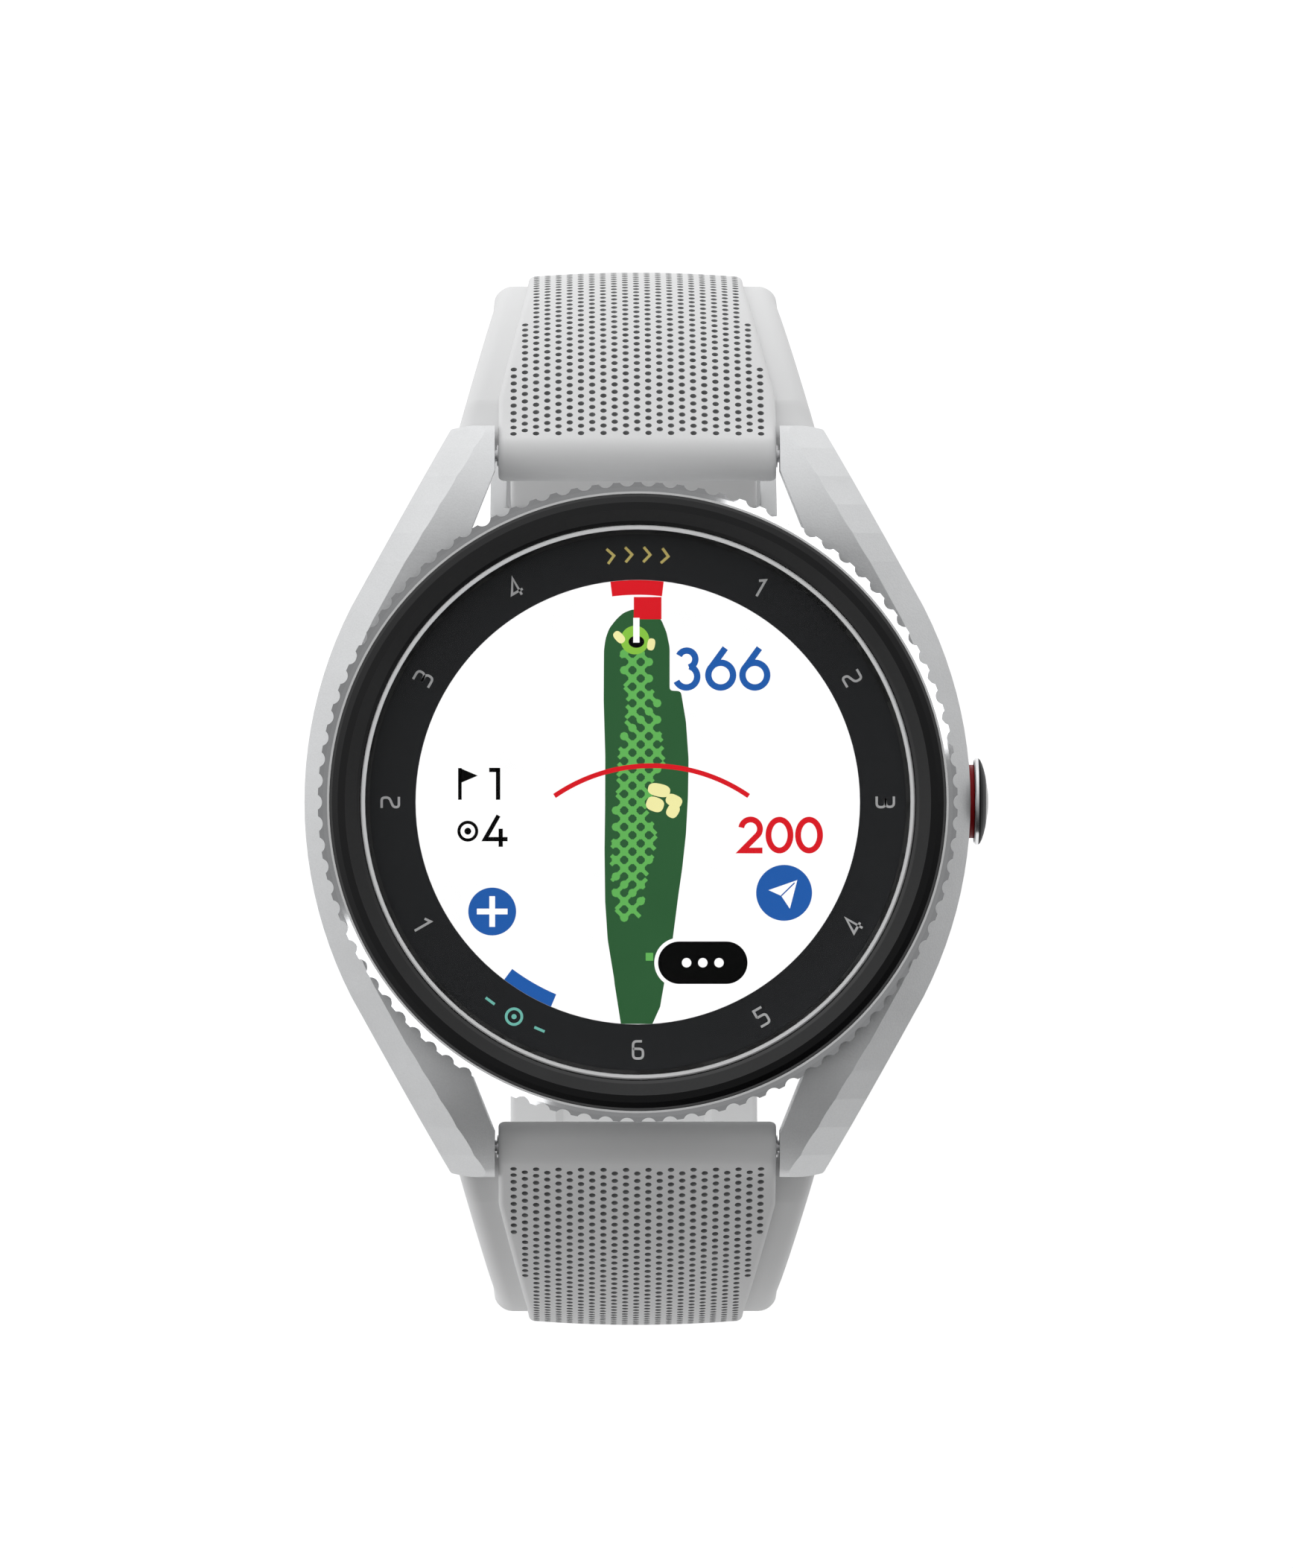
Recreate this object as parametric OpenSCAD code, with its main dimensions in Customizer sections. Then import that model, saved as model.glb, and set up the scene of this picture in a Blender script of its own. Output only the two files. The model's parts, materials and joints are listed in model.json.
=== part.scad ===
// Round wrist-worn golf distance watch with a coin-edge turning bezel, a push crown and a two-piece strap.
// Origin: centre of the case back's outer face. +Z out through the glass, +Y to 12 o'clock, +X to the crown.

/* [Case] */
// height of the metal case's top face above the back
case_top = 8.6; // [7:0.1:11]
// thickness of the screwed back plate
back_t = 1.0; // [0.8:0.1:1.6]
// distance from a side arc's centre to the straight lug flank
flank_d = 30; // [28:0.5:32]
// how far each side arc's centre lies past the middle
arc_shift = 6.7; // [6:0.1:7.4]
// angle of the lug flanks
flank_angle = 29; // [25:1:33]
// radius of the round core under the bezel
core_r = 21; // [20:0.1:21.5]
// radius of the bore that holds the works
cavity_r = 18.2; // [17:0.1:18.6]
// clear width between the lugs
lug_gap = 20; // [18:1:22]

/* [Lugs and bars] */
// spring bar centre from the middle of the case
bar_y = 24.25; // [23:0.25:26]
// spring bar centre above the back
bar_z = 3.5; // [3:0.1:4.5]
// radius of the lug tip about the bar
lug_tip_r = 2.15; // [1.8:0.05:2.4]
// where the lug's top surface starts to fall
lug_fall_y = 17.5; // [16:0.5:19]

/* [Glass and bezel] */
// radius of the lit display
display_r = 15.5; // [14:0.1:16]
// radius of the cover glass
glass_r = 19; // [18:0.1:19.5]
// top of the cover glass
glass_top = 12.0; // [11:0.1:13]
// outer radius of the coin edge
bezel_r = 22.3; // [21.5:0.1:23]
// number of scallops on the coin edge
scallops = 94; // [60:2:120]

/* [Crown] */
// radius of the black crown cap
crown_r = 3.05; // [2.5:0.05:3.5]
// radius of the coloured ring behind the cap
ring_r = 2.58; // [2:0.02:2.8]
// height of the crown's axis above the back
crown_z = 4.15; // [4:0.05:4.2]
// outermost point of the crown
crown_tip = 24.65; // [24.65:0.05:25.5]

/* [Strap] */
// farthest reach of each strap half from the middle
loop_y = 37.95; // [35:0.05:42]
// outer radius of the strap's bend
loop_r = 32; // [28:0.5:36]
// slope of the strap where it leaves the lugs
strap_slope = 47; // [30:1:60]
// thickness of the strap at the lugs
strap_t = 3.5; // [3:0.1:4.5]
// height of the raised centre band over the base layer
band_h = 1.0; // [0.5:0.1:1.5]
// half width of the tail
tail_w = 9.1; // [8:0.1:10]

/* [Buckle] */
// buckle bar's distance from the middle
buckle_y = -2; // [-4:0.5:2]
// radius of the strap's end about the buckle bar
buckle_end_r = 1.6; // [1.4:0.1:2]
// reach of the buckle's front bar
buckle_front = -14; // [-16:0.5:-12]

/* [Hidden] */
$fn = 96;
bezel_z = case_top + 0.1;
turret_top = 10.6;
insert_z = 11.2;
retainer_z = 9.5;
retainer_t = 0.5;
lug_arc_r = (pow(bar_y - lug_fall_y, 2) + pow(case_top - bar_z, 2) - pow(lug_tip_r, 2))
  / (2 * (case_top - bar_z - lug_tip_r));
cone_r = flank_d / cos(2);
cheek_y = cone_r * sin(flank_angle - 2);
chamfer_w = 1.8;
chamfer_h = 1.7;
crease_tilt = atan(chamfer_h / chamfer_w * cos(flank_angle));
crease_m = tan(flank_angle) * sin(crease_tilt);
crease_r = 21;
crease_y = 16.8;
crease_v = ((flank_d - chamfer_w - crease_y * sin(flank_angle)) / cos(flank_angle) - arc_shift)
  * sin(crease_tilt) + case_top * cos(crease_tilt);
crease_cu = crease_y - crease_r * sin(atan(crease_m));
crease_cv = crease_v - crease_r * cos(atan(crease_m));
th0 = 90 - strap_slope;
end_r = strap_t / 2;
loop_cy = loop_y - loop_r;
run_l = (loop_cy + (loop_r - end_r) * cos(th0) - bar_y) / sin(th0);
loop_cz = bar_z - (loop_r - end_r) * sin(th0) - run_l * cos(th0);
in_r = loop_r - strap_t;
base_r = loop_r - band_h;
base_t = strap_t - band_h;
curl_cy = 11;
curl_out = loop_y - band_h - curl_cy;
curl_in = curl_out - base_t;
curl_end = -186;
tip_z = loop_cz - 6.5;
hole_r = 1.1;
hole_first = -78;
hole_count = 7;
hole_pitch = 12;
buckle_z = loop_cz - base_r + buckle_end_r + 0.02;
floor_z = loop_cz - base_r;
keeper_gap = 0.3;
keeper_wall = 1.2;
keeper_room = 3.0;
keeper_in = in_r - keeper_gap - keeper_wall;
keeper_out = base_r + keeper_room + keeper_wall;
keeper_w = tail_w + keeper_gap + keeper_wall;
keeper_fixed_at = -57;
keeper_loose_at = -34;
keeper_arc = 9;

// Shared helpers

// flat outline in (y, z) pushed along x
module along_x(w) {
  rotate([90, 0, 90]) linear_extrude(height = w, center = true) children();
}

// flat ring between two radii
module ring(z, h, r_in, r_out) {
  translate([0, 0, z]) difference() {
    cylinder(h = h, r = r_out);
    translate([0, 0, -1]) cylinder(h = h + 2, r = r_in);
  }
}

// flat box about a centre in x and y, rising from z
module slab(x, y, z, sx, sy, sz) {
  translate([x - sx / 2, y - sy / 2, z]) cube([sx, sy, sz]);
}

// part ring in (y, z) about (cy, cz) from angle a down to angle b
module arc_2d(cy, cz, r_in, r_out, a, b) {
  reach = r_out * 1.5;
  steps = ceil((a - b) / 40);
  translate([cy, cz]) intersection() {
    difference() {
      circle(r = r_out);
      circle(r = r_in);
    }
    polygon(concat([[0, 0]],
      [for (i = [0:steps]) [reach * cos(a - (a - b) * i / steps), reach * sin(a - (a - b) * i / steps)]]));
  }
}

// Case

// x of the straight flank at a given y
function flank_x(y) = (flank_d - y * sin(flank_angle)) / cos(flank_angle) - arc_shift;

// block with the case's outline from above: two arcs and four straight flanks
module plan_block() {
  intersection() {
    translate([-arc_shift, 0, back_t]) cylinder(h = case_top - back_t, r = cone_r);
    translate([arc_shift, 0, back_t]) cylinder(h = case_top - back_t, r = cone_r);
    translate([-30, -cheek_y, 0]) cube([60, 2 * cheek_y, 20]);
  }
  for (s = [-1, 1]) {
    translate([0, 0, back_t]) linear_extrude(height = case_top - back_t)
      polygon([[-flank_x(cheek_y), s * cheek_y], [-flank_x(30), s * 30], [flank_x(30), s * 30],
        [flank_x(cheek_y), s * cheek_y], [15, s * 8], [-15, s * 8]]);
  }
}

// what goes above the long chamfer of one flank, which falls with the lug in short flats
module crease_cut() {
  last_y = crease_y + 12;
  rotate([0, crease_tilt, 0]) along_x(80) polygon(concat(
    [[-10, 60], [-10, crease_v + (10 + crease_y) * crease_m]],
    [for (y = [crease_y:2:last_y]) [y, crease_cv + sqrt(pow(crease_r, 2) - pow(y - crease_cu, 2))]],
    [[last_y, 60]]));
}

// chamfer cutters in (radius, z) for the top and bottom edges of a cheek
module top_cut(r) {
  polygon([[r + 0.6, case_top - 2.267], [r - 2.1, case_top + 0.283], [r + 3, case_top + 0.283],
    [r + 3, case_top - 2.267]]);
}

module bottom_cut(r) {
  polygon([[r + 0.6, back_t + 2.4], [r - 1.5, back_t - 0.4], [r + 3, back_t - 0.4], [r + 3, back_t + 2.4]]);
}

module cheek_cut() {
  translate([-arc_shift, 0, 0]) rotate([0, 0, -flank_angle]) rotate_extrude(angle = 2 * flank_angle) {
    top_cut(cone_r);
    bottom_cut(cone_r);
  }
}

module flank_cut() {
  translate([-arc_shift, 0, 0]) rotate([0, 0, flank_angle]) translate([0, -1, 0]) rotate([90, 0, 0])
    mirror([0, 0, 1]) linear_extrude(height = 30) bottom_cut(flank_d);
}

// what goes beyond the lug: above its falling top, past its round tip and under its rising foot
module lug_cut() {
  tangent_y = lug_fall_y + lug_arc_r * (bar_y - lug_fall_y) / (lug_arc_r - lug_tip_r);
  tangent_z = case_top - lug_arc_r + lug_arc_r * (bar_z - case_top + lug_arc_r) / (lug_arc_r - lug_tip_r);
  difference() {
    along_x(70) polygon([[lug_fall_y, case_top - lug_arc_r], [tangent_y, tangent_z],
      [tangent_y + 9, tangent_z + 9], [lug_fall_y, 30]]);
    translate([-40, lug_fall_y, case_top - lug_arc_r]) rotate([0, 90, 0]) cylinder(h = 80, r = lug_arc_r);
  }
  difference() {
    along_x(70) polygon([[bar_y, bar_z], [tangent_y, tangent_z], [tangent_y + 9, tangent_z + 9],
      [60, 20], [60, -20], [bar_y, -20]]);
    translate([-40, bar_y, bar_z]) rotate([0, 90, 0]) cylinder(h = 80, r = lug_tip_r);
  }
  along_x(70) polygon([[bar_y - 8, back_t - 0.002], [bar_y + 0.01, bar_z - lug_tip_r], [bar_y + 0.01, -5],
    [bar_y - 8, -5]]);
}

// gap for the strap end between the lugs
module strap_gap() {
  difference() {
    linear_extrude(height = 20) polygon([[-lug_gap / 2, 40], [-lug_gap / 2, 23.2], [-11.6, 19.2],
      [-11.6, 14], [11.6, 14], [11.6, 19.2], [lug_gap / 2, 23.2], [lug_gap / 2, 40]]);
    translate([0, 0, -1]) cylinder(h = 22, r = core_r);
  }
}

// outside shape of the case without any of its holes
module case_block() {
  difference() {
    plan_block();
    lug_cut();
    mirror([0, 1, 0]) lug_cut();
    cheek_cut();
    mirror([1, 0, 0]) cheek_cut();
    for (mx = [0, 1]) {
      for (my = [0, 1]) {
        mirror([mx, 0, 0]) mirror([0, my, 0]) {
          flank_cut();
          crease_cut();
        }
      }
    }
  }
}

// neck that carries the glass, grooved for the bezel's retaining wire
module neck() {
  rotate_extrude() polygon([[16, case_top - 0.3], [19.6, case_top - 0.3], [19.6, retainer_z - 0.08],
    [18.95, retainer_z - 0.08], [18.95, retainer_z + retainer_t + 0.08],
    [19.6, retainer_z + retainer_t + 0.08], [19.6, turret_top], [16, turret_top]]);
}

// case with its neck, bore, strap gaps and spring bar holes
module case_shell() {
  difference() {
    union() {
      case_block();
      neck();
    }
    translate([0, 0, -1]) cylinder(h = 20, r = cavity_r);
    strap_gap();
    mirror([0, 1, 0]) strap_gap();
    for (s = [-1, 1]) {
      translate([-11.7, s * bar_y, bar_z]) rotate([0, 90, 0]) cylinder(h = 23.4, r = 0.5);
    }
  }
}

module mid_case() {
  color([0.72, 0.73, 0.74]) difference() {
    case_shell();
    // crown passage: stem hole, spring bore, ring pocket
    on_crown(0) rotate_extrude() polygon([[0, 15], [1.06, 15], [1.06, 20.2], [2.0, 20.2], [2.0, 22.7],
      [ring_r + 0.1, 22.7], [ring_r + 0.1, 28], [0, 28]]);
    // back screw holes
    for (a = [45:90:315]) {
      rotate([0, 0, a]) translate([19.6, 0, 0]) cylinder(h = 3.8, r = 0.6);
    }
    // microphone and pressure ports on the side away from the crown
    for (s = [-1, 1]) {
      translate([-25, s * 2.2, 4.6]) rotate([0, 90, 0]) cylinder(h = 8, r = 0.45);
    }
  }
}

module case_back() {
  color([0.55, 0.56, 0.58]) difference() {
    union() {
      rotate_extrude() polygon([[0, 0], [20.2, 0], [20.8, 0.5], [20.8, back_t], [18, back_t], [18, 1.9],
        [0, 1.9]]);
    }
    // gasket groove
    ring(1.25, 0.4, 17.4, 19);
    // well behind the sensor window
    translate([0, 0, -1]) cylinder(h = 4, r = 6.5);
    // slot for the contact block
    slab(0, -12, -1, 9.6, 2.8, 4);
    // screw holes and head seats
    for (a = [45:90:315]) {
      rotate([0, 0, a]) translate([19.6, 0, -1]) cylinder(h = 4, r = 0.6);
      rotate([0, 0, a]) translate([19.6, 0, -1]) cylinder(h = 1.5, r = 1.0);
    }
  }
}

module back_gasket() {
  color([0.08, 0.08, 0.08]) ring(1.25, 0.4, 17.4, cavity_r);
}

module back_screws() {
  color([0.6, 0.61, 0.62]) for (a = [45:90:315]) {
    rotate([0, 0, a]) translate([19.6, 0, 0]) difference() {
      union() {
        translate([0, 0, 0.05]) cylinder(h = 0.45, r = 1.0);
        translate([0, 0, 0.4]) cylinder(h = 3.2, r = 0.6);
      }
      slab(0, 0, -0.2, 1.6, 0.3, 0.5);
      slab(0, 0, -0.2, 0.3, 1.6, 0.5);
    }
  }
}

module contact_block() {
  color([0.07, 0.07, 0.08]) difference() {
    slab(0, -12, 0, 9.6, 2.8, 2.2);
    for (i = [-1.5:1:1.5]) {
      translate([i * 2.2, -12, -1]) cylinder(h = 4, r = 0.65);
    }
  }
}

module charge_contacts() {
  color([0.85, 0.65, 0.25]) for (i = [-1.5:1:1.5]) {
    translate([i * 2.2, -12, 0.05]) cylinder(h = 2.35, r = 0.65);
  }
}

module sensor_window() {
  color([0.05, 0.05, 0.07]) cylinder(h = 1.5, r = 6.5);
}

module sensor_board() {
  color([0.05, 0.3, 0.15]) union() {
    ring(1.5, 0.6, 0, 6.4);
    slab(0, 0, 1.4, 0.1, 0.1, 0.7);
  }
}

// Glass, dial and display

module cover_glass() {
  color([0.75, 0.85, 0.9, 0.35]) rotate_extrude() polygon([[0, 10.8], [glass_r, 10.8],
    [glass_r, glass_top - 0.2], [glass_r - 0.25, glass_top], [0, glass_top]]);
}

module trim_ring() {
  color([0.9, 0.9, 0.9]) rotate_extrude() polygon([[glass_r, turret_top], [19.3, turret_top],
    [19.3, glass_top - 0.05], [19.2, glass_top + 0.1], [glass_r, glass_top + 0.1]]);
}

module dial_ring() {
  color([0.15, 0.15, 0.16]) ring(turret_top, 0.1, display_r, glass_r);
}

module glass_gasket() {
  color([0.06, 0.06, 0.06]) ring(turret_top + 0.1, 0.1, 18.7, glass_r);
}

module display_panel() {
  color([0.95, 0.95, 0.95]) translate([0, 0, 9.5]) cylinder(h = 1.2, r = display_r - 0.02);
}

module display_bracket() {
  color([0.3, 0.3, 0.32]) union() {
    ring(8.9, 0.3, 9, 17.8);
    ring(8.9, 1.7, 16.2, 17.8);
    for (a = [0:90:270]) {
      rotate([0, 0, a]) slab(12.4, 0, 9.1, 8, 3, 0.4);
    }
  }
}

// Works

module main_board() {
  color([0.04, 0.28, 0.14]) difference() {
    translate([0, 0, 6.9]) cylinder(h = 0.7, r = 16.8);
    slab(15.2, 0, 6, 4.4, 5.2, 3);
    for (a = [60:120:300]) {
      rotate([0, 0, a]) translate([15.2, 0, 6]) cylinder(h = 3, r = 0.7);
    }
  }
}

module shield_cans() {
  color([0.75, 0.76, 0.77]) union() {
    slab(-5, 5, 7.6, 11, 10, 1.0);
    slab(-6.5, -7.5, 7.6, 8, 7, 0.9);
    slab(6, -7.5, 7.6, 9, 8, 1.1);
  }
}

module chips() {
  color([0.06, 0.06, 0.07]) union() {
    slab(5.2, 3.5, 7.6, 5, 5, 0.8);
    slab(6.2, 9.6, 7.6, 4, 3, 0.7);
    slab(10.8, 3.2, 7.6, 3, 3, 0.6);
    slab(-12.6, 1.6, 7.6, 2.4, 4, 0.7);
    slab(0.2, -13.2, 7.6, 5, 2.2, 0.8);
  }
}

module gps_antenna() {
  color([0.8, 0.62, 0.3]) difference() {
    ring(7.9, 0.8, 16.9, 17.9);
    slab(17, 0, 7, 6, 3, 3);
  }
}

module chassis() {
  color([0.16, 0.16, 0.17]) difference() {
    union() {
      ring(2.2, 4.7, 16.6, 17.9);
      difference() {
        translate([0, 0, 6.35]) cylinder(h = 0.5, r = 16.8);
        slab(-1.5, 4, 6, 12, 6, 2);
        slab(-1.5, -6, 6, 12, 6, 2);
      }
      slab(0, 11.3, 2.4, 24.4, 1, 4.2);
      slab(0, -9.7, 2.4, 24.4, 1, 4.2);
    }
    // clearance for the crown switch and stem
    slab(15.8, 0, 2, 6.4, 5.6, 6);
  }
}

module battery() {
  color([0.78, 0.79, 0.8]) union() {
    slab(-1.4, 0.8, 2.5, 22, 19.6, 3.6);
    slab(-1.4, 0.8, 2.7, 22.6, 17, 3.2);
  }
}

module vibration_motor() {
  color([0.6, 0.6, 0.62]) translate([-1, 14, 2.7]) cylinder(h = 2.7, r = 1.9);
}

module buzzer() {
  color([0.2, 0.2, 0.22]) difference() {
    slab(4, -12.6, 2.7, 7, 4.2, 2.4);
    translate([4, -12.6, 2]) cylinder(h = 1.4, r = 0.5);
  }
}

module button_switch() {
  color([0.1, 0.1, 0.1]) union() {
    slab(14.5, 0, crown_z - 1.6, 2.6, 4.6, 8.3 - crown_z);
    translate([15.6, 0, crown_z]) rotate([0, 90, 0]) cylinder(h = 0.9, r = 0.8);
  }
}

module spring_bars() {
  color([0.7, 0.7, 0.7]) for (s = [-1, 1]) {
    translate([-9.85, s * bar_y, bar_z]) rotate([0, 90, 0]) cylinder(h = 19.7, r = 0.8);
    translate([-11.4, s * bar_y, bar_z]) rotate([0, 90, 0]) cylinder(h = 22.8, r = 0.46);
  }
}

// Turning bezel

module bezel_ring() {
  color([0.78, 0.78, 0.79]) difference() {
    rotate_extrude() polygon([[19.68, bezel_z], [21.8, bezel_z], [bezel_r, bezel_z + 0.5],
      [bezel_r, 10.9], [21.95, 11.3], [21.65, 11.75], [21.5, 11.75], [21.5, insert_z],
      [19.68, insert_z]]);
    // coin edge
    for (i = [0:scallops - 1]) {
      rotate([0, 0, i * 360 / scallops]) translate([bezel_r + 0.28, 0, bezel_z - 1])
        cylinder(h = 4, r = 0.58, $fn = 48);
    }
    // groove for the retaining wire
    ring(retainer_z, retainer_t, 19, 20.1);
  }
}

module bezel_insert() {
  color([0.04, 0.04, 0.045]) rotate_extrude() polygon([[19.38, insert_z], [21.5, insert_z],
    [21.5, 11.75], [21.3, 12.0], [20.9, 12.28], [20.4, 12.36], [19.6, 12.2], [19.38, 12.05]]);
}

module bezel_retainer() {
  color([0.6, 0.6, 0.6]) difference() {
    ring(retainer_z, retainer_t, 19.3, 20.1);
    slab(0, -19.7, 9, 1.5, 3, 2);
  }
}

// Crown, along +X at crown_z

module on_crown(x) {
  translate([x, 0, crown_z]) rotate([0, 90, 0]) children();
}

module crown_cap() {
  color([0.05, 0.05, 0.05]) on_crown(0) rotate_extrude() polygon([[0, 23.63], [crown_r - 0.15, 23.63],
    [crown_r, 23.72], [crown_r, 23.92], [crown_r - 0.12, 24.06], [crown_r - 0.4, 24.2],
    [crown_r - 0.8, 24.33], [crown_r - 1.3, 24.45], [crown_r - 1.9, 24.55], [0.6, 24.63],
    [0, crown_tip]]);
}

module crown_ring() {
  color([0.75, 0.06, 0.08]) on_crown(23.2) difference() {
    cylinder(h = 0.43, r = ring_r);
    translate([0, 0, -1]) cylinder(h = 3, r = 1.0);
  }
}

module crown_stem() {
  color([0.7, 0.7, 0.71]) on_crown(0) difference() {
    translate([0, 0, 16.85]) cylinder(h = 6.78, r = 1.0);
    // seal groove and clip groove
    ring(18.9, 0.7, 0.7, 2);
    ring(17.5, 0.35, 0.7, 2);
  }
}

module crown_seal() {
  color([0.1, 0.1, 0.1]) on_crown(0) ring(18.9, 0.7, 0.7, 1.04);
}

module crown_clip() {
  color([0.6, 0.6, 0.62]) on_crown(0) difference() {
    ring(17.5, 0.35, 0.7, 1.75);
    translate([-2.5, -0.45, 17]) cube([2.5, 0.9, 2]);
  }
}

// coil spring between the pocket floor and the ring, as a stack of joined turns
module crown_spring() {
  color([0.75, 0.75, 0.76]) on_crown(0) union() {
    for (i = [0:5]) {
      ring(20.25 + i * 0.52, 0.26, 1.35, 1.75);
    }
    for (i = [0:4]) {
      rotate([0, 0, i * 180]) translate([1.42, -0.25, 20.3 + i * 0.52]) cube([0.26, 0.5, 0.7]);
    }
  }
}

// Strap

// straight run and bend of a strap half, between two offsets from the bend's centre, down to the widest point
module upper_run(r_a, r_b) {
  polygon([[loop_cy + r_a * cos(th0), loop_cz + r_a * sin(th0)],
    [loop_cy + r_b * cos(th0), loop_cz + r_b * sin(th0)],
    [loop_cy + r_b * cos(th0) - run_l * sin(th0), loop_cz + r_b * sin(th0) + run_l * cos(th0)],
    [loop_cy + r_a * cos(th0) - run_l * sin(th0), loop_cz + r_a * sin(th0) + run_l * cos(th0)]]);
  arc_2d(loop_cy, loop_cz, r_a, r_b, th0, -0.5);
}

// plan outline of the wide base layer
module base_plan() {
  polygon([[-tail_w - 3.75, -60], [tail_w + 3.75, -60], [tail_w + 3.75, 24], [tail_w + 3.5, 26.1],
    [tail_w + 0.54, 37], [tail_w + 0.45, 42], [-tail_w - 0.45, 42], [-tail_w - 0.54, 37],
    [-tail_w - 3.5, 26.1], [-tail_w - 3.75, 24]]);
}

// plan outline of the raised band
module band_plan() {
  polygon([[-9.75, 22], [9.75, 22], [9.75, 28.6], [7.7, 37], [7.65, 42], [-7.65, 42], [-7.7, 37],
    [-9.75, 28.6]]);
}

// upper part of either strap half, from the bar to the widest point
module strap_top() {
  difference() {
    union() {
      // base layer with its shoulders under the lug tips
      difference() {
        intersection() {
          along_x(40) upper_run(in_r, base_r);
          translate([0, 0, -60]) linear_extrude(height = 80) base_plan();
        }
        translate([-30, bar_y, bar_z]) rotate([0, 90, 0]) cylinder(h = 60, r = lug_tip_r + 0.3);
      }
      // core and band between the lugs
      intersection() {
        union() {
          along_x(40) upper_run(in_r, loop_r);
          translate([-20, bar_y, bar_z]) rotate([0, 90, 0]) cylinder(h = 40, r = end_r);
        }
        translate([0, 0, -60]) linear_extrude(height = 80) band_plan();
      }
    }
    // bore for the spring bar
    translate([-20, bar_y, bar_z]) rotate([0, 90, 0]) cylinder(h = 40, r = 0.86);
  }
}

// limits of the lower strap's width, narrowing to the tail width
module lower_front() {
  intersection() {
    rotate([90, 0, 0]) linear_extrude(height = 200, center = true)
      polygon([[-tail_w - 1.25, loop_cz], [tail_w + 1.25, loop_cz], [tail_w, loop_cz - 14],
        [tail_w, -60], [-tail_w, -60], [-tail_w, loop_cz - 14]]);
    translate([0, 0, -60]) linear_extrude(height = 80) base_plan();
  }
}

// rounded end of the raised band just below the widest point
module band_end(cy, r_out) {
  intersection() {
    along_x(40) arc_2d(cy, loop_cz, r_out - band_h - 0.5, r_out, 0, -60);
    union() {
      translate([-7.65, 0, loop_cz - 8]) cube([15.3, 60, 9]);
      translate([0, 0, loop_cz - 8]) rotate([-90, 0, 0]) cylinder(h = 60, r = 7.65);
    }
  }
}

module strap_upper() {
  color([0.5, 0.51, 0.52]) difference() {
    union() {
      strap_top();
      intersection() {
        union() {
          along_x(40) arc_2d(loop_cy, loop_cz, in_r, base_r, 0, -90);
          translate([-20, buckle_y, floor_z]) cube([40, loop_cy - buckle_y, base_t]);
          translate([-20, buckle_y, buckle_z]) rotate([0, 90, 0]) cylinder(h = 40, r = buckle_end_r);
        }
        lower_front();
      }
      band_end(loop_cy, loop_r);
    }
    // buckle bar bore and tongue slot
    translate([-20, buckle_y, buckle_z]) rotate([0, 90, 0]) cylinder(h = 40, r = 0.78);
    slab(0, buckle_y - 0.5, floor_z - 1, 2.3, 8.6, 6);
    // shallow channel on the wrist side
    along_x(11.5) arc_2d(loop_cy, loop_cz, in_r - 1, in_r + 0.4, 22, -48);
  }
}

module strap_lower() {
  color([0.46, 0.47, 0.48]) mirror([0, 1, 0]) difference() {
    union() {
      strap_top();
      intersection() {
        along_x(40) arc_2d(curl_cy, loop_cz, curl_in, curl_out, 0, -100);
        lower_front();
      }
      // tail with its rounded tip
      intersection() {
        along_x(2 * tail_w) arc_2d(curl_cy, loop_cz, curl_in, curl_out, -99, curl_end);
        union() {
          translate([-20, -40, tip_z - 60]) cube([40, 80, 60]);
          translate([0, -40, tip_z]) rotate([-90, 0, 0]) cylinder(h = 80, r = tail_w);
        }
      }
      band_end(curl_cy, curl_out + band_h);
    }
    // adjusting holes
    for (i = [0:hole_count - 1]) {
      translate([0, curl_cy, loop_cz]) rotate([hole_first - i * hole_pitch, 0, 0]) rotate([-90, 0, 0])
        translate([0, 0, curl_in - 3]) cylinder(h = 8, r = hole_r);
    }
    // shallow channel on the wrist side
    along_x(11.5) arc_2d(loop_cy, loop_cz, in_r - 1, in_r + 0.4, 22, 4);
    along_x(11.5) arc_2d(curl_cy, loop_cz, curl_in - 1, curl_in + 0.4, -4, -85);
  }
}

module keeper(at, gap) {
  difference() {
    along_x(2 * keeper_w) arc_2d(loop_cy, loop_cz, keeper_in, keeper_out, at, at - keeper_arc);
    along_x(2 * (tail_w + keeper_gap)) arc_2d(loop_cy, loop_cz, in_r - gap, keeper_out - keeper_wall, 0, -90);
  }
}

module keeper_fixed() {
  color([0.42, 0.43, 0.44]) keeper(keeper_fixed_at, 0);
}

module keeper_loose() {
  color([0.42, 0.43, 0.44]) keeper(keeper_loose_at, keeper_gap);
}

// Buckle

module buckle_frame() {
  color([0.74, 0.75, 0.76]) difference() {
    union() {
      translate([-11.3, buckle_y, buckle_z]) rotate([0, 90, 0]) cylinder(h = 22.6, r = buckle_end_r);
      along_x(22.6) polygon([[buckle_y - 0.2, floor_z + 0.01], [buckle_front + 0.8, floor_z + 0.01],
        [buckle_front, floor_z + 0.8], [buckle_front, floor_z + 1.6], [buckle_front + 0.4, floor_z + 2],
        [buckle_y - 6, floor_z + 2.2], [buckle_y - 0.2, buckle_z + buckle_end_r - 0.05]]);
    }
    // window for the strap end
    slab(0, buckle_y - 4.7, floor_z - 5, 18.8, 10, 14);
    translate([-9.4, buckle_y - 1, floor_z - 5]) cube([18.8, 10, 14]);
    // notch that seats the tongue
    slab(0, buckle_front, floor_z - 1, 2.0, 8, 1.9);
    // bar holes
    translate([-20, buckle_y, buckle_z]) rotate([0, 90, 0]) cylinder(h = 40, r = 0.7);
  }
}

module buckle_bar() {
  color([0.68, 0.69, 0.7]) translate([-11.1, buckle_y, buckle_z]) rotate([0, 90, 0])
    cylinder(h = 22.2, r = 0.7);
}

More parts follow.
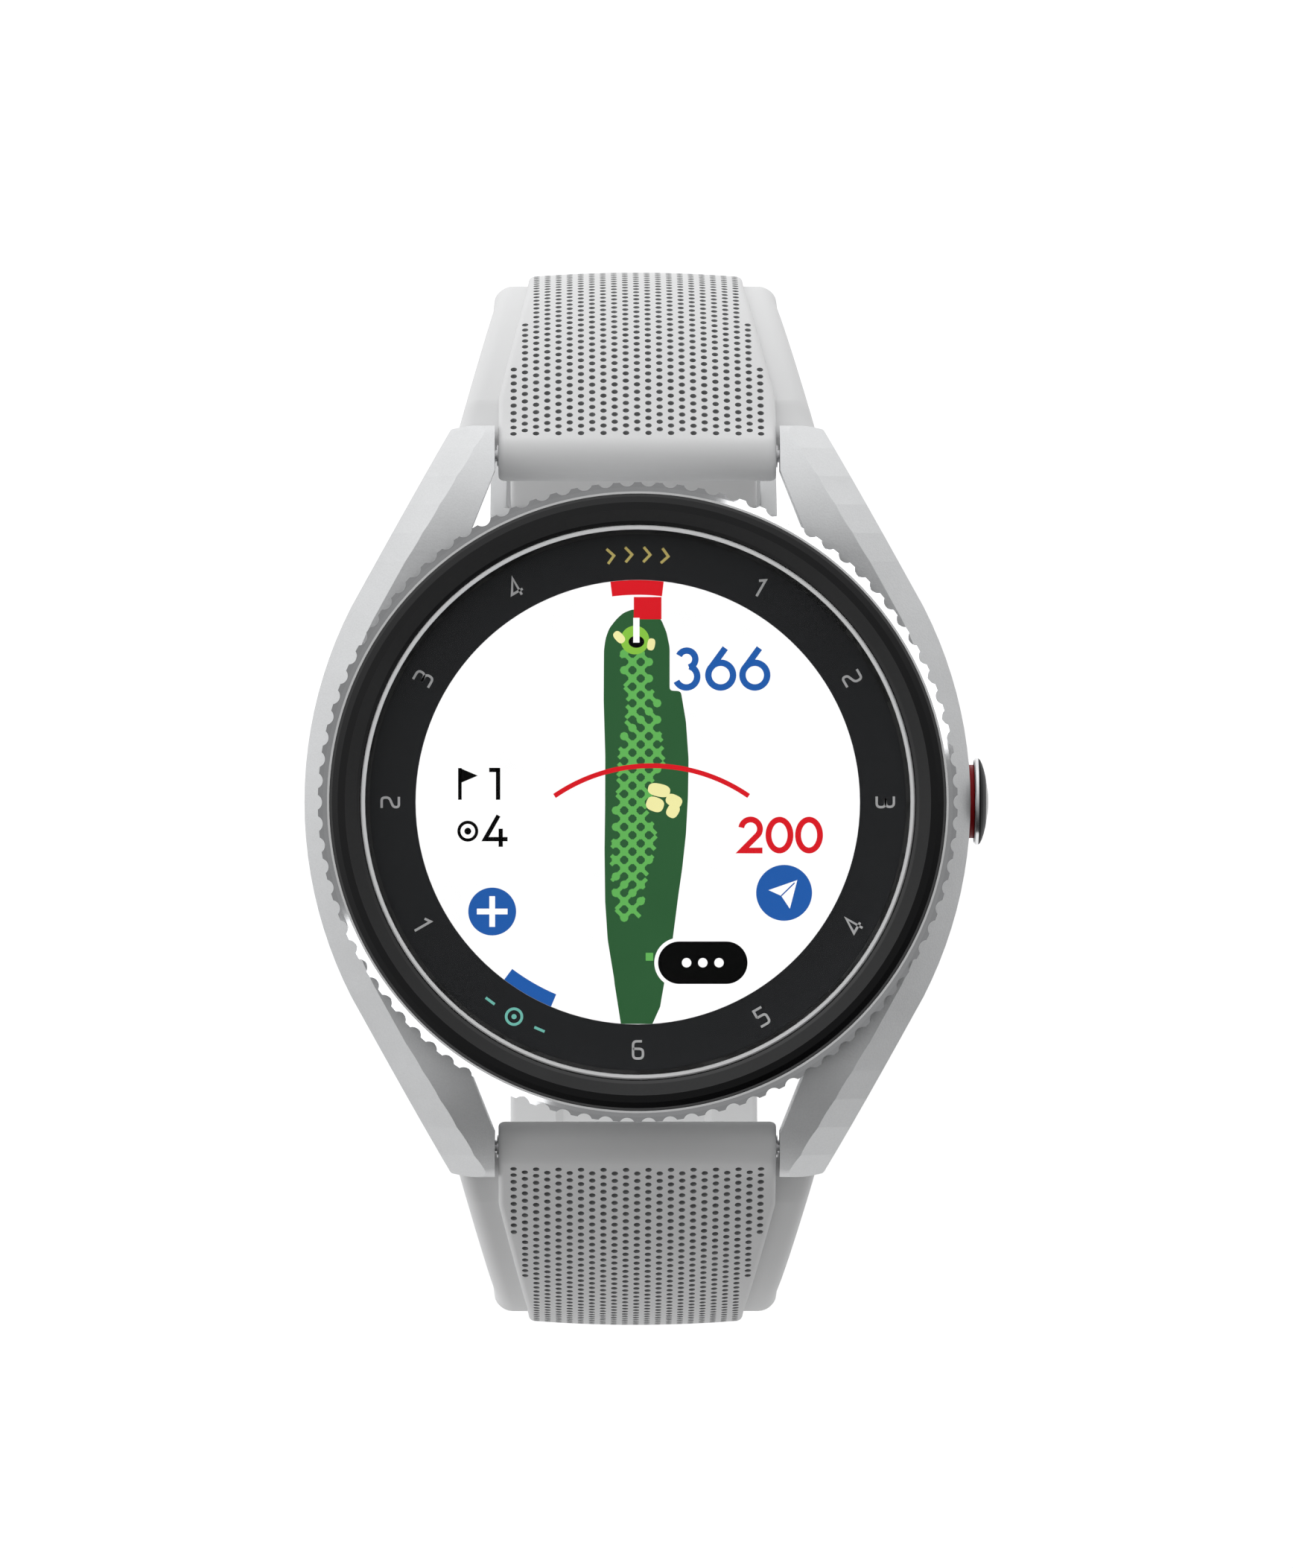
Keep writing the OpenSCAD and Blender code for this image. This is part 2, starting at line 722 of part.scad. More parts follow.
module buckle_tongue() {
  color([0.76, 0.77, 0.78]) difference() {
    union() {
      translate([-0.8, buckle_y, buckle_z]) rotate([0, 90, 0]) cylinder(h = 1.6, r = 1.5);
      along_x(1.6) polygon([[buckle_y - 0.4, floor_z + 0.12], [buckle_front + 0.1, floor_z + 0.12],
        [buckle_front + 0.1, floor_z + 0.6], [buckle_front + 0.6, floor_z + 0.85],
        [buckle_y - 1.1, floor_z + 0.95]]);
    }
    translate([-5, buckle_y, buckle_z]) rotate([0, 90, 0]) cylinder(h = 10, r = 0.78);
  }
}

mid_case();
case_back();
back_gasket();
back_screws();
contact_block();
charge_contacts();
sensor_window();
sensor_board();
cover_glass();
trim_ring();
glass_gasket();
dial_ring();
display_panel();
display_bracket();
main_board();
shield_cans();
chips();
gps_antenna();
chassis();
battery();
vibration_motor();
buzzer();
button_switch();
spring_bars();
bezel_ring();
bezel_insert();
bezel_retainer();
crown_cap();
crown_ring();
crown_stem();
crown_seal();
crown_clip();
crown_spring();
strap_upper();
keeper_fixed();
keeper_loose();
strap_lower();
buckle_frame();
buckle_bar();
buckle_tongue();
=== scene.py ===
"""Round golf distance watch on a two-piece rubber strap.

Around the frame's solids it adds their materials, the two soft strap halves, the crown's coil
spring, the printed number ring and the picture on the screen. Lengths are in millimetres in the
frame's coordinates, unless a comment says otherwise.
"""
import json
import math

import bmesh
import bpy
from mathutils import Matrix, Vector


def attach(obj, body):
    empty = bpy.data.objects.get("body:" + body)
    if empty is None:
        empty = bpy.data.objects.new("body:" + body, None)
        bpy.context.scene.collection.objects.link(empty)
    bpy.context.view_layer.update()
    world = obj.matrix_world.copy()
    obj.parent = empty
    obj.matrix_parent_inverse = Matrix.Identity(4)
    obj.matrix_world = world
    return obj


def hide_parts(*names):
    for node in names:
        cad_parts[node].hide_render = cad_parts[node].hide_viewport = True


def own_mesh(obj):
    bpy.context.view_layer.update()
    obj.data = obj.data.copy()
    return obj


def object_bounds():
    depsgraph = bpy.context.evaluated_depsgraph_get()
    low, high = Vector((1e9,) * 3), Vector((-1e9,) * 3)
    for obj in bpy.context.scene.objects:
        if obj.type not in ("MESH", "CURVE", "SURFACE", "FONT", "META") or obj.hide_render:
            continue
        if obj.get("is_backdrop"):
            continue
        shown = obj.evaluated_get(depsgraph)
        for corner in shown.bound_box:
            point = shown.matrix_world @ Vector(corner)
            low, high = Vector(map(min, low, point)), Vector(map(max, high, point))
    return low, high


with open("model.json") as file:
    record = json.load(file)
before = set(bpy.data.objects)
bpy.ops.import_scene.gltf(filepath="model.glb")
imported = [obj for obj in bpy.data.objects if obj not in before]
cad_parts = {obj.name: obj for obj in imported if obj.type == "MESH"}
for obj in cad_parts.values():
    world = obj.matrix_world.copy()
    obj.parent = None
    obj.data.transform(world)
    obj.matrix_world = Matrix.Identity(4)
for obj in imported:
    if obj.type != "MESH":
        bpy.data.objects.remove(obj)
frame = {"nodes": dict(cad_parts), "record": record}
cad_box = [list(corner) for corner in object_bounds()]
nodes = frame["nodes"]
MM = 0.001

# measures that repeat the CAD model's
CROWN_Z = 4.15                 # the crown's axis
BAR_Y, BAR_Z = 24.25, 3.5      # the spring bar between the lugs at 12 o'clock
BAR_BORE = 0.86
BUCKLE_Z = -50.611             # the buckle's bar, under the wrist
BUCKLE_BORE = 0.78
LIP_Z = 11.7                   # the bezel's polished lip lies above this
BEVEL_R = 20.45                # the bezel insert falls away outside this radius
SCREEN_R = 15.48               # the edge of the display
PRINT_Z = 10.706               # the printed ring, on the dial ring's face
SCREEN_Z = 10.704              # the display's face
FLOOR_DROP = 11.5              # room under the strap for the buckle to swing


# ---------------------------------------------------------------- helpers

def arc(cx, cy, r, start, end, count=24):
    """Points of a circular arc, angles in degrees."""
    out = []
    for i in range(count + 1):
        a = math.radians(start + (end - start) * i / count)
        out.append((cx + r * math.cos(a), cy + r * math.sin(a)))
    return out


def new_object(name, verts, faces):
    """A mesh object from points in millimetres."""
    mesh = bpy.data.meshes.new(name)
    mesh.from_pydata([(x * MM, y * MM, z * MM) for x, y, z in verts], [], faces)
    mesh.validate()
    obj = bpy.data.objects.new(name, mesh)
    bpy.context.scene.collection.objects.link(obj)
    return obj


def loft(name, rings):
    """A closed solid through rings of the same number of points."""
    count = len(rings[0])
    verts = [p for ring in rings for p in ring]
    faces = []
    for i in range(len(rings) - 1):
        for j in range(count):
            k = (j + 1) % count
            faces.append((i * count + j, i * count + k, (i + 1) * count + k, (i + 1) * count + j))
    faces.append(tuple(range(count))[::-1])
    last = (len(rings) - 1) * count
    faces.append(tuple(last + j for j in range(count)))
    obj = new_object(name, verts, faces)
    fix_normals(obj)
    return obj


def fix_normals(obj):
    """Turns all faces of a closed mesh outwards."""
    bm = bmesh.new()
    bm.from_mesh(obj.data)
    bmesh.ops.recalc_face_normals(bm, faces=bm.faces)
    bm.to_mesh(obj.data)
    bm.free()


def bake(obj):
    """Applies the object's modifiers to its own mesh."""
    depsgraph = bpy.context.evaluated_depsgraph_get()
    mesh = bpy.data.meshes.new_from_object(obj.evaluated_get(depsgraph))
    obj.modifiers.clear()
    obj.data = mesh


def boolean(obj, tool, operation):
    """Adds, cuts or intersects a tool mesh, which is used up."""
    mod = obj.modifiers.new("cut", "BOOLEAN")
    mod.operation = operation
    mod.solver = "MANIFOLD"
    mod.object = tool
    bpy.context.view_layer.update()
    bake(obj)
    bpy.data.objects.remove(tool)


def smooth(obj, angle=32):
    """Smooth shading that keeps edges sharper than the angle."""
    mesh = obj.data
    mesh.polygons.foreach_set("use_smooth", [True] * len(mesh.polygons))
    mesh.set_sharp_from_angle(angle=math.radians(angle))


def step(x, a, b):
    """Smooth step of x from a to b."""
    u = min(1.0, max(0.0, (x - a) / (b - a)))
    return u * u * (3 - 2 * u)


def table(x, pairs):
    """Straight-line interpolation in a list of (x, value)."""
    if x <= pairs[0][0]:
        return pairs[0][1]
    for (xa, va), (xb, vb) in zip(pairs, pairs[1:]):
        if x <= xb:
            return va + (vb - va) * (x - xa) / (xb - xa)
    return pairs[-1][1]


# ---------------------------------------------------------------- materials

def new_material(name):
    """A material, its node tree and its Principled shader."""
    mat = bpy.data.materials.new(name)
    mat.use_nodes = True
    return mat, mat.node_tree, mat.node_tree.nodes["Principled BSDF"]


def add(tree, kind, values=None, **settings):
    """A shader node with its settings and the values of its inputs."""
    node = tree.nodes.new("ShaderNode" + kind)
    for key, value in settings.items():
        setattr(node, key, value)
    for key, value in (values or {}).items():
        node.inputs[key].default_value = value
    return node


def add_ramp(tree, start, end):
    """A colour ramp between two (position, colour) pairs; colours are cut off at 1."""
    ramp = add(tree, "ValToRGB")
    for stop, (position, colour) in zip(ramp.color_ramp.elements, (start, end)):
        stop.position = position
        stop.color = [min(1.0, c) for c in colour] + [1]
    return ramp


GRAIN_LOW, GRAIN_HIGH = 0.45, 0.95    # where patches plus grain begin and stop changing a surface
GRAIN_SHARE = 0.4


def grain_material(name, colour, rough, metal=0.0, vary=0.05, patch=130.0, grain=5000.0,
                   rough_vary=0.06, bump=0.15, depth=0.02, spec=0.5, stretch=None):
    """Principled surface whose colour, roughness and relief vary with patches and a fine grain.

    patch and grain are noise scales per metre, depth is the relief in millimetres, and stretch
    draws the grain out along an axis.
    """
    mat, tree, bsdf = new_material(name)
    bsdf.inputs["Metallic"].default_value = metal
    bsdf.inputs["Specular IOR Level"].default_value = spec
    coord = add(tree, "TexCoord")
    source = coord.outputs["Object"]
    if stretch:
        mapping = add(tree, "Mapping", {"Scale": stretch})
        tree.links.new(source, mapping.inputs["Vector"])
        source = mapping.outputs["Vector"]
    large = add(tree, "TexNoise", {"Scale": patch, "Detail": 5.0, "Roughness": 0.6})
    tree.links.new(coord.outputs["Object"], large.inputs["Vector"])
    fine = add(tree, "TexNoise", {"Scale": grain, "Detail": 3.0})
    tree.links.new(source, fine.inputs["Vector"])
    blend = add(tree, "Math", {1: GRAIN_SHARE}, operation="MULTIPLY_ADD")
    tree.links.new(fine.outputs["Fac"], blend.inputs[0])
    tree.links.new(large.outputs["Fac"], blend.inputs[2])
    ramp = add_ramp(tree, (GRAIN_LOW, [c * (1 - vary) for c in colour]),
                    (GRAIN_HIGH, [c * (1 + vary) for c in colour]))
    tree.links.new(blend.outputs[0], ramp.inputs["Fac"])
    tree.links.new(ramp.outputs["Color"], bsdf.inputs["Base Color"])
    spread = add(tree, "MapRange", {"From Min": GRAIN_LOW, "From Max": GRAIN_HIGH,
                                    "To Min": max(0.02, rough - rough_vary),
                                    "To Max": rough + rough_vary})
    tree.links.new(blend.outputs[0], spread.inputs["Value"])
    tree.links.new(spread.outputs["Result"], bsdf.inputs["Roughness"])
    relief = add(tree, "Bump", {"Strength": bump, "Distance": depth * MM})
    tree.links.new(fine.outputs["Fac"], relief.inputs["Height"])
    tree.links.new(relief.outputs["Normal"], bsdf.inputs["Normal"])
    return mat


def lit_material(name, colour, strength=1.0):
    """A lit screen colour with the faintest unevenness of a real panel."""
    mat, tree, bsdf = new_material(name)
    bsdf.inputs["Base Color"].default_value = (0.004, 0.004, 0.004, 1)
    bsdf.inputs["Roughness"].default_value = 0.6
    bsdf.inputs["Specular IOR Level"].default_value = 0.0
    bsdf.inputs["Emission Strength"].default_value = strength
    coord = add(tree, "TexCoord")
    noise = add(tree, "TexNoise", {"Scale": 260.0, "Detail": 4.0})
    ramp = add_ramp(tree, (0.3, [c * 0.97 for c in colour]), (0.7, [c * 1.02 for c in colour]))
    tree.links.new(coord.outputs["Object"], noise.inputs["Vector"])
    tree.links.new(noise.outputs["Fac"], ramp.inputs["Fac"])
    tree.links.new(ramp.outputs["Color"], bsdf.inputs["Emission Color"])
    return mat


def glass_material(name, tint, amount):
    """Clear crystal: mostly see-through, with a reflection that grows at grazing angles."""
    mat, tree, _ = new_material(name)
    tree.nodes.clear()
    out = add(tree, "OutputMaterial")
    clear = add(tree, "BsdfTransparent")
    gloss = add(tree, "BsdfGlossy")
    mix = add(tree, "MixShader")
    fresnel = add(tree, "Fresnel", {"IOR": 1.45})
    scale = add(tree, "Math", {1: amount}, operation="MULTIPLY")
    coord = add(tree, "TexCoord")
    noise = add(tree, "TexNoise", {"Scale": 300.0})
    ramp = add_ramp(tree, (0.0, [c * 0.985 for c in tint]), (1.0, tint))
    rough = add(tree, "MapRange", {"To Min": 0.02, "To Max": 0.06})
    for source, target in ((coord.outputs["Object"], noise.inputs["Vector"]),
                           (noise.outputs["Fac"], ramp.inputs["Fac"]),
                           (noise.outputs["Fac"], rough.inputs["Value"]),
                           (rough.outputs["Result"], gloss.inputs["Roughness"]),
                           (ramp.outputs["Color"], clear.inputs["Color"]),
                           (fresnel.outputs["Fac"], scale.inputs[0]),
                           (scale.outputs[0], mix.inputs["Fac"]),
                           (clear.outputs["BSDF"], mix.inputs[1]),
                           (gloss.outputs["BSDF"], mix.inputs[2]),
                           (mix.outputs["Shader"], out.inputs["Surface"])):
        tree.links.new(source, target)
    return mat


# the record's material slots
mats = {
    "case_metal": grain_material("case_metal", (0.75, 0.755, 0.76), 0.50, metal=0.5, vary=0.09,
                                 patch=90, grain=7500, bump=0.7),
    "back_metal": grain_material("back_metal", (0.66, 0.665, 0.67), 0.30, metal=1.0, patch=150,
                                 grain=3500, rough_vary=0.08, bump=0.2, depth=0.01,
                                 stretch=(1, 12, 1)),
    "polished_metal": grain_material("polished_metal", (0.74, 0.745, 0.75), 0.20, metal=1.0,
                                     patch=200, depth=0.01),
    "ceramic": grain_material("ceramic", (0.020, 0.020, 0.0205), 0.22, vary=0.15, patch=160,
                              grain=3000, rough_vary=0.03, bump=0.05, depth=0.005),
    "crystal": glass_material("crystal", (1.0, 1.0, 1.0), 0.12),
    "dial_print": grain_material("dial_print", (0.019, 0.020, 0.022), 0.55, vary=0.06, patch=200,
                                 grain=4000, rough_vary=0.05, bump=0.05, depth=0.005, spec=0.2),
    "display": lit_material("display", (1.0, 1.0, 1.0), 1.05),
    "board": grain_material("board", (0.03, 0.16, 0.07), 0.45, vary=0.12, patch=300, grain=2500,
                            rough_vary=0.08, bump=0.3),
    "can_metal": grain_material("can_metal", (0.62, 0.62, 0.63), 0.34, metal=1.0, vary=0.06,
                                patch=250),
    "black_plastic": grain_material("black_plastic", (0.022, 0.022, 0.024), 0.42, vary=0.12,
                                    patch=180, grain=4500, rough_vary=0.08, bump=0.25),
    "gold": grain_material("gold", (0.86, 0.60, 0.26), 0.24, metal=1.0, vary=0.06, patch=250,
                           grain=4000),
    "battery_foil": grain_material("battery_foil", (0.50, 0.51, 0.52), 0.36, metal=0.9, vary=0.08,
                                   patch=180, grain=1600, rough_vary=0.08, bump=0.4, depth=0.03),
    "spring_steel": grain_material("spring_steel", (0.60, 0.60, 0.61), 0.28, metal=1.0, vary=0.06,
                                   patch=260),
    "red_enamel": grain_material("red_enamel", (0.34, 0.005, 0.008), 0.45, vary=0.10, patch=250,
                                 grain=4000, bump=0.1, depth=0.01, spec=0.15),
    "seal_rubber": grain_material("seal_rubber", (0.02, 0.02, 0.02), 0.6, vary=0.12, patch=200,
                                  grain=4000),
    "strap_rubber": grain_material("strap_rubber", (0.60, 0.605, 0.61), 0.50, vary=0.025,
                                   patch=110, grain=7000, rough_vary=0.05, bump=0.25,
                                   depth=0.015, spec=0.35),
}

# finishes of single faces, rings and prints, some with painted light: painted shade in the strap's
# dimples and on the bezel insert's sloping rim, and a painted dark reflection in the coin edge's metal
# the dimples' walls and floors: the strap's own rubber, darkened as painted shade for the hollows
painted_shade_in_dimples = grain_material("dimple_painted_shade", (0.34, 0.343, 0.348), 0.7, vary=0.15, patch=600,
                            grain=9000, spec=0.1)
# the coin edge's polished metal, its colour darkened to stand in for the dark surroundings it mirrors:
# a painted reflection
coin_edge_painted_reflection = grain_material("coin_edge_painted_reflection", (0.19, 0.192, 0.195), 0.13, metal=1.0, vary=0.06,
                            patch=220, rough_vary=0.04, bump=0.1, depth=0.008)
lip_metal = grain_material("lip_metal", (0.92, 0.92, 0.92), 0.25, metal=1.0, vary=0.03, patch=220,
                           rough_vary=0.05, bump=0.1, depth=0.008)
# the insert's sloping rim: a darker, less shiny black than the insert itself, as painted shade where
# it falls away
insert_rim_painted_shade = grain_material("insert_rim_painted_shade", (0.006, 0.006, 0.0065), 0.2, vary=0.15, patch=160,
                             grain=3000, rough_vary=0.04, bump=0.05, depth=0.005, spec=0.28)
crown_black = grain_material("crown_black", (0.012, 0.012, 0.013), 0.4, vary=0.15, patch=160,
                             grain=3000, rough_vary=0.04, bump=0.05, depth=0.005, spec=0.03)
trim_white = grain_material("trim_white", (0.97, 0.97, 0.965), 0.4, vary=0.04, patch=200,
                            grain=4000)


def ring_ink(name, colour):
    return grain_material(name, colour, 0.6, vary=0.06, patch=400, grain=6000, spec=0.2)


ring_print = ring_ink("ring_print", (0.66, 0.66, 0.66))
ring_yellow = ring_ink("ring_yellow", (1.0, 0.80, 0.26))
ring_teal = ring_ink("ring_teal", (0.30, 0.90, 0.76))

screen_red = lit_material("screen_red", (0.70, 0.010, 0.018))
screen_blue = lit_material("screen_blue", (0.016, 0.105, 0.40))
screen_dark = lit_material("screen_dark", (0.027, 0.105, 0.037))
screen_green = lit_material("screen_green", (0.127, 0.455, 0.102))
screen_lime = lit_material("screen_lime", (0.25, 0.56, 0.06))
screen_cream = lit_material("screen_cream", (0.90, 0.86, 0.40))
screen_black = lit_material("screen_black", (0.0, 0.0, 0.0), 0.0)
screen_white = lit_material("screen_white", (1.0, 1.0, 1.0), 1.05)

node_slot = {part["node"]: part["material_slot"] for part in frame["record"]["subparts"]}


def finish_node(node, mat, bevel):
    """Gives a CAD node its material and rounds its sharp edges by a bevel's width."""
    obj = nodes[node]
    obj.data.materials.clear()
    obj.data.materials.append(mat)
    if bevel:
        weld = obj.modifiers.new("weld", "WELD")
        weld.merge_threshold = 0.002 * MM
        edge = obj.modifiers.new("edge", "BEVEL")
        edge.width = bevel * MM
        edge.segments = 3
        edge.limit_method = "ANGLE"
        edge.angle_limit = math.radians(32)
        edge.harden_normals = True


bevels = {
    "case_back": 0.12, "contact_block": 0.15, "buckle_frame": 0.18, "buckle_tongue": 0.15,
    "keeper_fixed": 0.4, "keeper_loose": 0.4, "battery": 0.2, "shield_cans": 0.1, "chips": 0.06,
    "vibration_motor": 0.08, "buzzer": 0.08, "button_switch": 0.06, "crown_ring": 0.05,
}
for node in nodes:
    finish_node(node, mats[node_slot.get(node, "case_metal")], bevels.get(node, 0.0))
nodes["trim_ring"].data.materials[0] = trim_white
# painted reflection: the coin edge's metal is darkened
nodes["bezel_ring"].data.materials[0] = coin_edge_painted_reflection
nodes["crown_cap"].data.materials[0] = crown_black


def paint(node, mat, chosen):
    """Gives the faces picked by their centre (mm) and normal a second material."""
    obj = nodes[node]
    obj.data.materials.append(mat)
    turn = obj.matrix_world.to_3x3()
    for poly in obj.data.polygons:
        if chosen(obj.matrix_world @ poly.center / MM, turn @ poly.normal):
            poly.material_index = len(obj.data.materials) - 1


def from_crown(c):
    """Distance of a point from the crown's axis."""
    return math.hypot(c.y, c.z - CROWN_Z)


paint("bezel_ring", lip_metal, lambda c, n: n.z > 0.95 and c.z > LIP_Z)
# painted shade: the insert's faces beyond BEVEL_R take the darker black
paint("bezel_insert", insert_rim_painted_shade, lambda c, n: math.hypot(c.x, c.y) > BEVEL_R)
paint("crown_cap", mats["ceramic"], lambda c, n: c.x > 24.4 and from_crown(c) < 1.7)
paint("crown_cap", mats["polished_metal"], lambda c, n: c.x < 23.92 and from_crown(c) > 2.9)


# ---------------------------------------------------------------- strap halves

# the strap's inner face runs straight from the lug, then round the wrist on an arc
TH0 = 43.0                     # angle of the arc where the straight run ends
CY, CZ = 5.95, -21.231         # the arc's centre
RUN = 5.606                    # length of the straight run
IN_R = 28.5
CURL_CY = 11.0                 # centre of the lower half's tighter arc, below the middle
CURL_R = IN_R - (CURL_CY - CY)
FLAT_Y = -2.0                  # the buckle's bar ends the upper half's flat stretch

# layers: a wide base, and a raised dimpled band along its middle
BASE_T, BAND_T = 2.5, 3.5
END_R = 1.75                   # the roll round the spring bar
SHOULDER_S, SHOULDER_R = 2.4, 2.45
RAMP_S, RAMP_T = 5.0, 0.7      # the base is RAMP_T thinner at its shoulder than at run RAMP_S
CROWN = 0.32                   # how far the sides of the band's top lie below its middle
TAIL_W = 9.1
TAIL_ROUND = 1.2
TIP_Z = CZ - 6.5
BAND_W = 7.65                  # half width of the band beyond the arc's level point
BAND_ROUND, BAND_TIP = 8.0, 15.6    # depths below the arc's centre where the band rounds off and ends
TOP_SHARE = 0.94               # the top face's points spread over this share of the half width
GROOVE = 0.4                   # depth of the hollow along the inner face
GROOVE_FLAT, GROOVE_W = 5.2, 5.75   # half widths of the hollow's floor and mouth
# (y, half width)
BASE_PLAN = [(24.0, 12.85), (26.1, 12.6), (37.0, 9.64), (42.0, 9.55)]
BAND_PLAN = [(28.6, 9.75), (37.0, 7.7), (42.0, BAND_W)]

# runs along the inner face: the arc's level point, and where each half ends
EQUATOR = RUN + IN_R * math.radians(TH0)
UPPER_END = EQUATOR + IN_R * math.pi / 2 + CY - FLAT_Y
LOWER_END = EQUATOR + CURL_R * math.radians(186)


def place(s, t, lower):
    """Point in the strap's middle plane at run s along the inner face and height t above it."""
    if s <= RUN:
        a = math.radians(TH0)
        y = CY + (IN_R + t) * math.cos(a) - (RUN - s) * math.sin(a)
        z = CZ + (IN_R + t) * math.sin(a) + (RUN - s) * math.cos(a)
        return y, z
    a = math.radians(TH0) - (s - RUN) / IN_R
    if a >= 0:
        return CY + (IN_R + t) * math.cos(a), CZ + (IN_R + t) * math.sin(a)
    s0 = s - RUN - IN_R * math.radians(TH0)
    if lower:
        a = -s0 / CURL_R
        return CURL_CY + (CURL_R + t) * math.cos(a), CZ + (CURL_R + t) * math.sin(a)
    a = -s0 / IN_R
    if a > -math.pi / 2:
        return CY + (IN_R + t) * math.cos(a), CZ + (IN_R + t) * math.sin(a)
    return CY - (s0 - IN_R * math.pi / 2), CZ - IN_R - t


def base_width(s, t, lower):
    """Half width of the base layer at a point."""
    y, z = place(s, t, lower)
    top = table(y, BASE_PLAN)
    if s <= EQUATOR - 6:
        return top
    low = TAIL_W + 1.25 * (1 - step(-z, -CZ - 2, -CZ + 14))
    k = step(s, EQUATOR - 6, EQUATOR + 4)
    w = top * (1 - k) + low * k if s < EQUATOR + 4 else low
    w = min(w, top + 0.3)
    if lower and s > EQUATOR + 40 and z > TIP_Z:
        w = min(w, math.sqrt(max(0.0, TAIL_W ** 2 - (z - TIP_Z) ** 2)))
    return w


def band_width(s, t, lower):
    """Half width of the band at a point; it ends in a half circle."""
    y, z = place(s, t, lower)
    if s <= EQUATOR:
        return table(y, BAND_PLAN)
    d = max(0.0, CZ - BAND_ROUND - z)
    return math.sqrt(max(0.0, BAND_W ** 2 - d * d))


def profile(t0, t1, r_in, r_out, groove=0.0):
    """Half outline as (value, height, kind): kind 0 is the distance in from the side, kind 1 an x, and
    kind 2 a share of the half width."""
    pts = [(0.0, t0 + groove, 1), (GROOVE_FLAT, t0 + groove, 1), (GROOVE_W, t0, 1)]
    for i in range(6):
        a = math.radians(-90 + 90 * i / 5)
        pts.append((r_in - r_in * math.cos(a), t0 + r_in + r_in * math.sin(a), 0))
    for i in range(7):
        a = math.radians(90 * i / 6)
        pts.append((r_out - r_out * math.cos(a), t1 - r_out + r_out * math.sin(a), 0))
    for share in (0.8, 0.6, 0.4, 0.2, 0.0):
        pts.append((share, t1, 2))
    return pts


def ring_at(s_of, width_of, pts, lower, inset=0.0, crown=0.0):
    """One full ring of the strap from a half outline; crown lowers the sides of its top face."""
    half = []
    for d, t, kind in pts:
        s = s_of(t)
        w = width_of(s, t, lower)
        if kind == 0:
            x = w - inset - d * min(1.0, w / 3.0)
        elif kind == 1:
            x = d * min(1.0, w / 7.0)
        else:
            x = (w - inset) * d * TOP_SHARE
        x = max(x, 0.0)
        drop = crown * (x / w) ** 2 * step(t, END_R, BAND_T) if w > 0.1 else 0.0
        y, z = place(s, t - drop, lower)
        half.append((x, y, z))
    left = [(-x, y, z) for x, y, z in half[1:-1]]
    return half + left[::-1]


def spread(a, b, pitch):
    """Even steps of about one pitch from a to b."""
    count = max(1, round((b - a) / pitch))
    return [a + (b - a) * i / count for i in range(count + 1)]


def base_ring(s_of, top, r_top, squeeze, lower, groove=0.0, inset=0.0):
    """One ring of the base layer; squeeze takes height off both faces where it rounds off."""
    pts = [(d, min(max(t, squeeze), top - squeeze), kind)
           for d, t, kind in profile(0.0, top, 0.4, r_top, groove)]
    return ring_at(s_of, base_width, pts, lower, inset)


def between(s, start, end, blend=1.2):
    """1 from start to end, with smooth ends of one blend's length inside them."""
    return step(s, start, start + blend) * (1 - step(s, end - blend, end))


def strap_base(lower):
    """Wide base layer, from the shoulders under the lug tips to the far end."""
    def shoulder(t):
        return math.sqrt(max(0.1, SHOULDER_R ** 2 - (t - END_R) ** 2))

    rings = []
    for inset, extra, squeeze in ((0.45, 0.0, 0.45), (0.13, 0.13, 0.13), (0.0, 0.45, 0.0)):
        top = BASE_T - RAMP_T * (RAMP_S - SHOULDER_S - extra) / (RAMP_S - SHOULDER_S)
        rings.append(base_ring(lambda t: shoulder(t) + extra, top, 1.0, squeeze, lower,
                               inset=inset))
    end = LOWER_END if lower else UPPER_END
    stations = spread(3.3, RAMP_S, 0.4) + spread(RAMP_S + 0.25, end - TAIL_ROUND, 0.5)
    if lower:
        stations += [end - TAIL_ROUND * (1 - math.sin(math.radians(a)))
                     for a in (20, 40, 60, 75, 90)]
        grooves = [(16.2, EQUATOR - 1.8), (EQUATOR + 1.7, EQUATOR + CURL_R * math.radians(85))]
    else:
        stations.append(end)
        grooves = [(16.2, EQUATOR + 23.9)]
    for s in stations:
        groove = sum(GROOVE * between(s, a, b) for a, b in grooves)
        squeeze = 0.0
        if lower and s > end - TAIL_ROUND:
            squeeze = 0.45 * ((s - end + TAIL_ROUND) / TAIL_ROUND) ** 2
        top = BASE_T - RAMP_T * max(0.0, RAMP_S - s) / (RAMP_S - SHOULDER_S)
        r_top = 1.1 - 0.6 * step(s, EQUATOR + 2, EQUATOR + 14)
        rings.append(base_ring(lambda t: s, top, r_top, squeeze, lower, groove))
    return loft("strap_base", rings)


